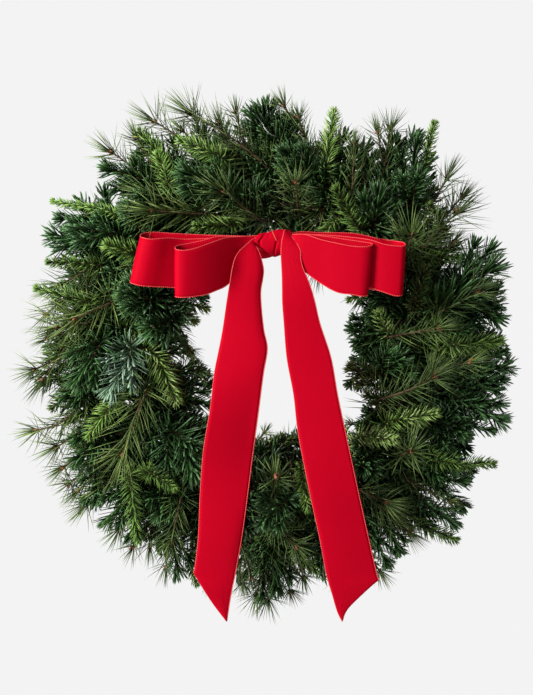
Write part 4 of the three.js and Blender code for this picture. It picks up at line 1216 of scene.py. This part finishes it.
twigs = {
    "step": 0.007,  # between a twig's points
    "leastSteps": 7,
    "rise": 0.35,  # where it lifts forward, as a share of the way to where it shows
    "lift": (0.006, 0.012),
    "fillLift": (0.003, 0.007),
    "fullBud": 0.03,  # needles this long or more have full buds
    "smallBud": 0.8,
    "thinBuds": 0.25,  # share of the thin sprays that keep theirs
    "leastShown": 0.45,  # share of a fir's or a spruce's length that is twig
    "stemMargin": 0.06,  # no twig leaves its stem nearer to its ends, in radians
}
sideTwigs = {
    "from": 0.5,  # share of the twig where the first leaves it
    "apart": 0.2,
    "loose": 0.08,
    "shortest": 0.014,
    "longest": 0.034,
    "leastSteps": 5,
    "share": 0.9,  # of what is left of the twig
    "ahead": 0.75,
    "aside": (0.55, 0.75),
    "toward": 0.12,
    "bend": (0.5, 0.8, 0.25),  # its middle and end along its way, and how far its end turns ahead
    "grown": (0.4, 1.0),  # how it counts along a twig, past the bare stretch
    "girth": (0.9, 0.6),
    "needle": 0.82,
    "bud": 0.8,
}


def stepsFor(length, least):
    return max(least, int(length / twigs["step"]))


# A twig's line: out of the main stem on its wire, forward to where it shows, then on to its tip.
def twigLine(kind, angle, shown, lift):
    start = onRing(angle, wires["rails"][kind], wires["stemForward"])
    rise = start + (shown[0] - start) * twigs["rise"] + np.array([0, -lift, 0])
    line = [start, rise, *shown]
    length = sum(np.linalg.norm(b - a) for a, b in zip(line, line[1:]))
    return smoothRows(line, stepsFor(length, twigs["leastSteps"]))


class Bunch:  # the lines of one node's twigs and what their points carry
    def __init__(self):
        self.lines = []
        self.values = {key: [] for key in ("share", "girth", "reach", "tone", "bud", "dense")}
        self.ways = []

    def addTwig(self, line, share, girth, reach, tone, bud, dense):
        self.lines.append(line)
        self.ways.append(unit(np.gradient(line, axis=0)))
        given = {"share": share, "girth": girth, "reach": reach, "tone": tone, "bud": bud, "dense": dense}
        for key, value in given.items():
            low, high = value if isinstance(value, tuple) else (value, value)
            self.values[key].append(np.linspace(low, high, len(line)).astype(np.float32))


bunches = {}
placeTurn = 2 * math.pi / wires["places"]


def shortWay(angle):  # an angle as the shorter turn to it
    return math.atan2(math.sin(angle), math.cos(angle))


def placeIndex(point):
    turn = (math.pi / 2 - math.atan2(point[2], point[0])) % (2 * math.pi)
    return int(turn / placeTurn) % wires["places"]


def bunchFor(kind, index):  # the nearest place that has this kind
    for step in (0, 1, -1, 2):
        node = f"{kind}_{(index + step) % wires['places'] + 1:02d}"
        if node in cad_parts:
            return bunches.setdefault(node, Bunch())


def stemAngle(point):
    middle = math.pi / 2 - placeTurn * (placeIndex(point) + 0.5)
    limit = placeTurn / 2 - twigs["stemMargin"]
    return middle + min(limit, max(-limit, shortWay(math.atan2(point[2], point[0]) - middle)))


def addSpray(kind, shown, reach, tone, lift, draw, dense=1.0):
    look = kinds[kind]
    reach *= look["needle"]
    bud = look["bud"] * min(1.0, reach / twigs["fullBud"]) * (1.0 if dense > 1.0 else twigs["smallBud"])
    if dense < 1.0 and draw.random() > twigs["thinBuds"]:
        bud = 0.0
    bunch = bunchFor(kind, placeIndex(shown[0]))
    line = twigLine(kind, stemAngle(shown[0]), shown, lift)
    bunch.addTwig(line, (0.0, 1.0), look["girth"], reach, tone, bud, dense)
    girth = tuple(look["girth"][1] * share for share in sideTwigs["girth"])
    for k in range(look["sides"]):
        side = sideLine(line, k, draw)
        if side is not None:
            needle = reach * sideTwigs["needle"]
            bunch.addTwig(side, sideTwigs["grown"], girth, needle, tone, bud * sideTwigs["bud"], dense)


# A short twig that leaves another one's outer half, to one side and a little towards the front.
def sideLine(line, k, draw):
    first = int(len(line) * (sideTwigs["from"] + sideTwigs["apart"] * k + sideTwigs["loose"] * draw.random()))
    ahead = line[-1] - line[first]
    length = np.linalg.norm(ahead)
    if length < sideTwigs["shortest"]:
        return None
    ahead = unit(ahead)
    aside = unit(np.cross(ahead, [0, 1, 0])) * (1 if k % 2 else -1)
    least, most = sideTwigs["aside"]
    way = ahead * sideTwigs["ahead"] + aside * (least + (most - least) * draw.random())
    way = unit(way + np.array([0, -sideTwigs["toward"] * draw.random(), 0]))
    length = min(sideTwigs["share"] * length, sideTwigs["longest"])
    middle, end, turned = sideTwigs["bend"]
    bent = line[first] + np.array([way * 0, way * middle, way * end + ahead * turned]) * length
    bent[:, 1] = np.minimum(bent[:, 1], -foliage["least"])
    return smoothRows(bent, stepsFor(length, sideTwigs["leastSteps"]))


# The listed tips of fir and spruce are their needles' ends, so the twig stops short of them.
def tipPulledBack(spots, columns):
    (x, y), (tipX, tipY) = spots[-2:]
    length = math.hypot(tipX - x, tipY - y)
    share = max(twigs["leastShown"], 1 - columns / length)
    return [*spots[:-1], (x + (tipX - x) * share, y + (tipY - y) * share)]


drawSpray = random.Random(foliage["seed"])
tips = []
for kind, rows in sprays.items():
    for spots, needle, layer, tone in rows:
        rootShare, tipShare, dense = layers[layer]
        spots = tipPulledBack(spots, needle * kinds[kind]["end"] if layer != "toward" else 0.0)
        shown = [spotAt(spots[0], rootShare)]
        shown += [spotAt(spot, tipShare, foliage["tipForward"]) for spot in spots[1:]]
        reach = needle * photo["scale"]
        tip = shown[-1]
        tips.append((math.atan2(tip[2], tip[0]), radiusOf(tip) + foliage["needleShare"] * reach))
        least, most = twigs["lift"]
        addSpray(kind, shown, reach, tone, least + (most - least) * drawSpray.random(), drawSpray, dense)


# How far out the listed sprays reach near an angle.
def outline(angle):
    near = [radius for a, radius in tips if abs(shortWay(a - angle)) < foliage["nearAngle"]]
    return max(near, default=foliage["plainOutline"])


# Fillers between the listed sprays: how many, the distances from the centre of their roots and tips,
# how far they turn from straight out, their depths as shares of the foliage's, and their kinds
# (pine, fir, spruce). A tip is at a share of the outline, at a distance inside the ring, or a step away.
fillers = [
    {"count": 92, "root": (0.17, 0.215), "tip": (0.8, 0.96), "turn": 0.5, "depth": (0.3, 0.62),
     "mix": (0.22, 0.62, 0.16), "dense": 0.75},
    {"count": 100, "root": (0.14, 0.25), "step": (0.035, 0.065), "turn": 3.1, "depth": (0.4, 0.7),
     "mix": (0.2, 0.66, 0.14), "dense": 0.75},
    {"count": 76, "root": (0.155, 0.18), "inner": (0.116, 0.14), "turn": 0.6, "depth": (0.3, 0.8),
     "mix": (0.08, 0.6, 0.32), "dense": 0.7},
    {"count": 70, "root": (0.18, 0.225), "tip": (0.76, 0.94), "turn": 0.5, "depth": (0.1, 0.3),
     "mix": (0.15, 0.75, 0.1), "dense": 0.55},
    {"count": 50, "root": (0.16, 0.19), "inner": (0.12, 0.15), "turn": 0.5, "depth": (0.1, 0.3),
     "mix": (0.05, 0.8, 0.15), "dense": 0.55},
    # the last, sparse fillers sit deepest and get dark tones: painted shade that fills the gaps between the
    # sprays
    {"count": 150, "root": (0.15, 0.24), "step": (0.03, 0.055), "turn": 3.1, "depth": (0.1, 0.28),
     "mix": (0, 1, 0), "dense": 0.4, "tone": (0.0, 0.22)},
]
filling = {
    "tones": {"pine": (0.22, 0.64), "fir": (0.12, 0.54), "spruce": (0.2, 0.62)},
    "needles": {"pine": (0.03, 0.042), "fir": (0.023, 0.03), "spruce": (0.011, 0.014)},
    "jitter": 0.9,  # share of the room between two
    "aim": (0.12, 0.5, 0.35),  # shares of the turn: where the outline is read, at a tip, at an inner tip
    "needleShare": 0.6,  # of the needles, kept inside the outline
    "leastRadius": 0.128,
    "tipDepth": (0.95, 1.15),  # shares of the root's depth
}


def fillerTip(rule, angle, rootRadius, turn, reach, draw):
    readAt, tipTurn, innerTurn = filling["aim"]
    inset = filling["needleShare"] * reach
    if "tip" in rule:
        far = outline(angle + readAt * turn) * draw.uniform(*rule["tip"]) - inset
        return onRing(angle + tipTurn * turn * (far - rootRadius) / far, far, 0)
    if "inner" in rule:
        return onRing(angle + turn * innerTurn, draw.uniform(*rule["inner"]), 0)
    tip = onRing(angle, rootRadius, 0) + draw.uniform(*rule["step"]) * onRing(angle + turn, 1, 0)
    far = max(radiusOf(tip), filling["leastRadius"])
    return tip * min(far, outline(math.atan2(tip[2], tip[0])) - inset) / radiusOf(tip)


def addFiller(rule, k, draw):
    angle = 2 * math.pi * (k + filling["jitter"] * draw.random()) / rule["count"]
    kind = draw.choices(["pine", "fir", "spruce"], rule["mix"])[0]
    rootRadius = draw.uniform(*rule["root"])
    turn = rule["turn"] * (2 * draw.random() - 1)
    reach = draw.uniform(*filling["needles"][kind])
    tip = fillerTip(rule, angle, rootRadius, turn, reach, draw)
    low = draw.uniform(*rule["depth"])
    toMiddle = np.array([0, -photo["middle"], 0])
    column, row = pixelOf(tip + toMiddle)
    if any(math.hypot((column - x) / wide, (row - y) / high) < 1 for x, y, wide, high in foliage["clear"]):
        return
    shown = []
    for flat, share in ((onRing(angle, rootRadius, 0), low), (tip, low * draw.uniform(*filling["tipDepth"]))):
        spot = pixelOf(flat + toMiddle)
        forward = max(foliage["least"], mound(radiusOf(flat)) * share)
        shown.append(place(*spot, keptBack(*spot, forward)))
    tone = draw.uniform(*rule.get("tone", filling["tones"][kind]))
    least, most = twigs["fillLift"]
    addSpray(kind, shown, reach, tone, least + (most - least) * draw.random(), draw, rule["dense"])


drawFill = random.Random(foliage["seed"] + 1)
for rule in fillers:
    for k in range(rule["count"]):
        addFiller(rule, k, drawFill)

# The main stems, one for each bunch, along its wire.
stems = {"gap": 0.014, "points": 14, "tone": 0.3}  # the gap is in radians, at each end of a place
for node, bunch in bunches.items():
    kind, index = node.split("_")
    start = math.pi / 2 - placeTurn * (int(index) - 1)
    angles = np.linspace(start - stems["gap"], start - placeTurn + stems["gap"], stems["points"])
    stem = np.array([onRing(angle, wires["rails"][kind], wires["stemForward"]) for angle in angles])
    bunch.addTwig(stem, 0.0, wires["stemRadius"], 0.01, stems["tone"], 0.0, 0.0)


growth = {
    "belly": 3.8,  # how far a needle's middle swells beyond a plain taper
    "blunting": 4.0,  # how far a blunt kind's width moves towards its tip
    "spin": 2.39996,  # from one needle to the next, in radians
    "spinLoose": 0.5,
    "tipPowers": (18.0, 5.0, 12.0),  # the higher, the nearer to the tip it loosens, straightens, shortens
    "tipFrom": 0.985,  # shares of the twig where its tuft and its buds stand
    "budFrom": 0.999,
    "lengths": (0.84, 1.05),
    "widths": (0.8, 1.15),
    "tones": (-0.24, 0.24),
    "sparseWidth": 2.2,  # the sparse twigs at the back have wider needles
    "bowGap": 0.0015,
    "wallGap": 0.0035,
    "barkSides": 5,
    "buds": 3,
    "leastBud": 0.0001,
    "budTurn": 2.1,
    "budLean": 0.55,
    "budSizes": (0.65, 1.15),
    "budLength": 2.0,
    "budForward": 1.6,
    "seeds": (11, 5),  # a bunch's seed is its number times the first, plus the second
}


# Grows a bunch on its twigs' lines: needles round them and at their ends, bark and buds.
def bunchTree():
    tree = bpy.data.node_groups.new("grow bunch", "GeometryNodeTree")
    net = Net(tree)
    numbers = {name: value for name, value in kinds["fir"].items() if name[0].isupper() and name != "Tuft"}
    given = net.given([
        ("Lines", "NodeSocketGeometry", None),
        ("Bow", "NodeSocketObject", None),
        *[(name, "NodeSocketFloat", value) for name, value in numbers.items()],
        ("Tuft", "NodeSocketInt", kinds["fir"]["Tuft"]),
        ("Seed", "NodeSocketInt", 1),
        ("Needles", "NodeSocketMaterial", None),
        ("Bark", "NodeSocketMaterial", None),
        ("Scales", "NodeSocketMaterial", None),
    ])
    seed = given["Seed"]
    curve = net.add("GeometryNodeMeshToCurve", {}, [given["Lines"]])
    share, reach, dense = net.number("share"), net.number("reach"), net.number("dense")
    here, index = net.add("GeometryNodeInputPosition"), net.add("GeometryNodeInputIndex")

    # a needle, along Z, that curls towards +Y
    sizes = {"Vertices": 3, "Side Segments": 2, "Radius Top": 0.0, "Radius Bottom": 0.5, "Depth": 1.0}
    cone = net.add("GeometryNodeMeshCone", {"fill_type": "NGON"}, sizes)
    x, y, z = [net.part(here, axis) for axis in "XYZ"]
    arch = z * (1.0 - z)
    full = 1.0 + growth["belly"] * arch
    shifted = z + growth["blunting"] * arch * (given["Blunt"] - 0.5)
    bent = net.combined(x * full * given["Width"], y * full * given["Thick"] + z * z * given["Curl"], shifted)
    cone = net.keep(cone, "along", z)
    needle = net.add("GeometryNodeSetPosition", {}, {"Geometry": cone, "Position": bent})

    # where needles stand: along the twig, as many as "dense" says, and a tuft at its end
    spots = net.without(net.spaced(curve, given["Spacing"]), share < given["Bare"])
    spots = net.without(spots, net.chance(0.0, 1.0, seed + 7.0) > dense)
    tuft = net.repeated(spots, given["Tuft"] * dense, share > growth["tipFrom"])
    spots = net.keep(net.join(spots, tuft), "order", index)
    order = net.number("order")  # stays as it is while points are left out

    # how they lean, and how long they are
    loosened, straightened, shortened = [share ** power for power in growth["tipPowers"]]
    spin = order * growth["spin"] + net.chance(-growth["spinLoose"], growth["spinLoose"], seed, order)
    loose = given["Loose"] + given["Tip Loose"] * loosened
    lean = given["Lean"] * (1.0 - straightened * (1.0 - given["Tip Lean"]))
    tilt = lean + loose * net.chance(-1.0, 1.0, seed + 1.0, order)
    twigWay = net.add("FunctionNodeAlignRotationToVector", {"axis": "Z"}, {"Vector": net.vector("way")})
    turned = net.turned(twigWay, tilt, spin)
    way = net.add("FunctionNodeRotateVector", {}, {"Vector": (0.0, 0.0, 1.0), "Rotation": turned})
    shorter = 1.0 - (1.0 - given["Tip Length"]) * shortened
    length = reach * net.chance(*growth["lengths"], seed + 2.0, order) * shorter

    # none stays that would go through the bow or the wall
    settings = {"transform_space": "ORIGINAL"}
    bow = net.add("GeometryNodeObjectInfo", settings, {"Object": given["Bow"]}, out="Geometry")
    ray = {"Source Position": here, "Ray Direction": way, "Ray Length": length + growth["bowGap"]}
    hit = net.add("GeometryNodeRaycast", {"data_type": "FLOAT"}, {"Target Geometry": bow} | ray, out="Is Hit")
    behind = (net.part(here, "Y") + net.part(way, "Y") * length) > -growth["wallGap"]
    spots = net.without(spots, (hit + behind) > 0.5)
    tone = net.number("tone") + net.chance(*growth["tones"], seed + 3.0, order)
    spots = net.keep(spots, "tone", tone)
    sparse = (1.0 - dense).maths("MAXIMUM", 0.0)
    wide = net.chance(*growth["widths"], seed + 4.0, order) * (1.0 + growth["sparseWidth"] * sparse ** 2.0)
    needles = net.copies(needle, spots, turned, net.combined(wide, wide, length), given["Needles"])

    # bark, and buds at the ends
    bark = net.tube(curve, growth["barkSides"], 1.0, net.number("girth"), given["Bark"])
    ends = (share > growth["budFrom"]) * (net.number("bud") > growth["leastBud"])
    values = {"Mesh": given["Lines"], "Selection": ends}
    ends = net.repeated(net.add("GeometryNodeMeshToPoints", {"mode": "VERTICES"}, values), growth["buds"])
    budWay = net.turned(twigWay, net.chance(0.0, growth["budLean"], seed + 5.0), index * growth["budTurn"])
    size = net.number("bud") * net.chance(*growth["budSizes"], seed + 6.0)
    ball = net.add("GeometryNodeMeshUVSphere", {}, {"Segments": 6, "Rings": 4, "Radius": 1.0})
    moved = {"Translation": (0.0, 0.0, growth["budForward"]), "Scale": (1.0, 1.0, growth["budLength"])}
    ball = net.add("GeometryNodeTransform", {}, {"Geometry": ball} | moved)
    buds = net.copies(ball, ends, budWay, size, given["Scales"])
    net.result(net.add("GeometryNodeSetShadeSmooth", {}, [net.join(needles, bark, buds)]))
    return tree


# One mesh of the whole bow, which needles keep out of while they grow.
def wholeBow():
    points, faces = [], []
    for piece in bowPieces.values():
        first = len(points)
        points += [tuple(v.co) for v in piece.data.vertices]
        faces += [tuple(first + v for v in polygon.vertices) for polygon in piece.data.polygons]
    mesh = bpy.data.meshes.new("bow shape")
    mesh.from_pydata(points, [], faces)
    made = bpy.data.objects.new("bow shape", mesh)
    bpy.context.collection.objects.link(made)
    return made


bunchGrower = bunchTree()
bowShape = wholeBow()
bunchPieces, triangles = {}, 0
for number, (node, bunch) in enumerate(sorted(bunches.items())):
    kind, index = node.split("_")
    source = chains(node + " lines", bunch.lines, bunch.values, {"way": bunch.ways})
    values = {key: value for key, value in kinds[kind].items() if key[0].isupper()}
    step, first = growth["seeds"]
    values |= {"Bow": bowShape, "Seed": step * number + first, "Needles": needleFinish[kind]}
    values |= {"Bark": plain["conifer bark"], "Scales": plain["bud scales"]}
    piece = grown(f"{kind}_bunch_{index}", source, bunchGrower, values)
    bunchPieces[node] = piece
    triangles += sum(len(polygon.vertices) - 2 for polygon in piece.data.polygons)
bpy.data.objects.remove(bowShape)
print(len(bunchPieces), "bunches grown with", triangles, "triangles")


# Every piece rides on the one body and stands for its node.
def stands(piece, node, slotName):
    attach(piece, "root")
    if node:
        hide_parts(node)


for node, piece in bunchPieces.items():
    stands(piece, node, node.split("_")[0] + "_foliage")
for node, piece in bowPieces.items():
    stands(piece, node, "red_ribbon")
for piece in bowEdgings.values():
    stands(piece, None, "red_ribbon")
stands(framePiece, "wire_frame", "green_wire")
stands(bindingPiece, "binding_wire", "zinc_wire")
stands(loopPiece, "hanging_loop", "zinc_wire")
stands(tiePiece, "bow_tie_wire", "zinc_wire")
stands(strayPieces["stray_wire_end"], None, "zinc_wire")
stands(strayPieces["dry_needle"], None, "pine_foliage")

cutShare = 0.9  # of a tail's rectangle that its slanting end leaves
for node, (width, length) in flatSizes.items():
    tail = "tail" in node
    "gathered" if not tail else "hung"
    ["ribbon_knot"] if node != "bow_knot" else ["ribbon_back_loops"]
    width * length * cutShare if tail else None
    [bowEdgings[node]] if node in bowEdgings else ()

# Camera, light and floor.
studio = {
    "background": linear(243, 243, 243),
    "ambient": 0.165,
    "floorDrop": 1.35,
    "floorRadius": 3.0,
    "floorSides": 96,
    "floorColour": linear(236, 235, 233),
    "floorRoughness": (0.8, 0.1),
    "floorGrain": 3.0,
    "sensor": 36,
    "clip": (0.05, 60),
    "lamps": [  # where, size, power, colour
        ("key", (-3.0, -2.0, 0.9), 1.3, 266.0, (1.0, 0.985, 0.96)),
        ("top", (0.1, -0.9, 2.4), 1.6, 18.0, (1.0, 1.0, 1.0)),
        ("behind", (0.9, 2.6, 0.9), 1.6, 60.0, (1.0, 1.0, 1.0)),
    ],
}


def aimed(thing, target):
    thing.rotation_euler = (Vector(target) - thing.location).to_track_quat("-Z", "Y").to_euler()


camera = bpy.data.objects.new("camera", bpy.data.cameras.new("camera"))
bpy.context.collection.objects.link(camera)
camera.location = (
    (photo["across"] / 2 - photo["centreColumn"]) * photo["scale"],
    -photo["distance"] - photo["middle"],
    (photo["centreRow"] - photo["down"] / 2) * photo["scale"] - photo["ringDrop"],
)
camera.rotation_euler = (math.pi / 2, 0, 0)
camera.data.sensor_width = studio["sensor"]
camera.data.lens = studio["sensor"] * photo["distance"] / (photo["down"] * photo["scale"])
camera.data.clip_start, camera.data.clip_end = studio["clip"]
bpy.context.scene.camera = camera

for name, where, size, power, colour in studio["lamps"]:
    lamp = bpy.data.objects.new(name, bpy.data.lights.new(name, "AREA"))
    bpy.context.collection.objects.link(lamp)
    lamp.location = where
    lamp.data.size = size
    lamp.data.energy = power
    lamp.data.color = colour
    aimed(lamp, (0, -photo["middle"], -photo["ringDrop"]))

world = bpy.data.worlds.new("studio")
bpy.context.scene.world = world
world.use_nodes = True
world.node_tree.nodes.clear()
sky = Net(world.node_tree)
seen = sky.add("ShaderNodeLightPath", {}, out="Is Camera Ray")
strength = studio["ambient"] + (1 - studio["ambient"]) * seen
shine = sky.add("ShaderNodeBackground", {}, {"Color": studio["background"], "Strength": strength})
sky.add("ShaderNodeOutputWorld", {}, {"Surface": shine})
bpy.context.scene.view_settings.view_transform = "Standard"


def floorSockets(net):
    least, more = studio["floorRoughness"]
    rough = least + more * noiseOn(net, studio["floorGrain"])
    return {"Base Color": studio["floorColour"], "Roughness": rough}


turns = [2 * math.pi * i / studio["floorSides"] for i in range(studio["floorSides"])]
across, drop = studio["floorRadius"], studio["floorDrop"]
edge = [(across * math.cos(turn), across * math.sin(turn), -drop) for turn in turns]
floor = meshObject("floor", edge, [range(len(edge))])
floor.data.materials.append(newMaterial("pale floor", floorSockets))
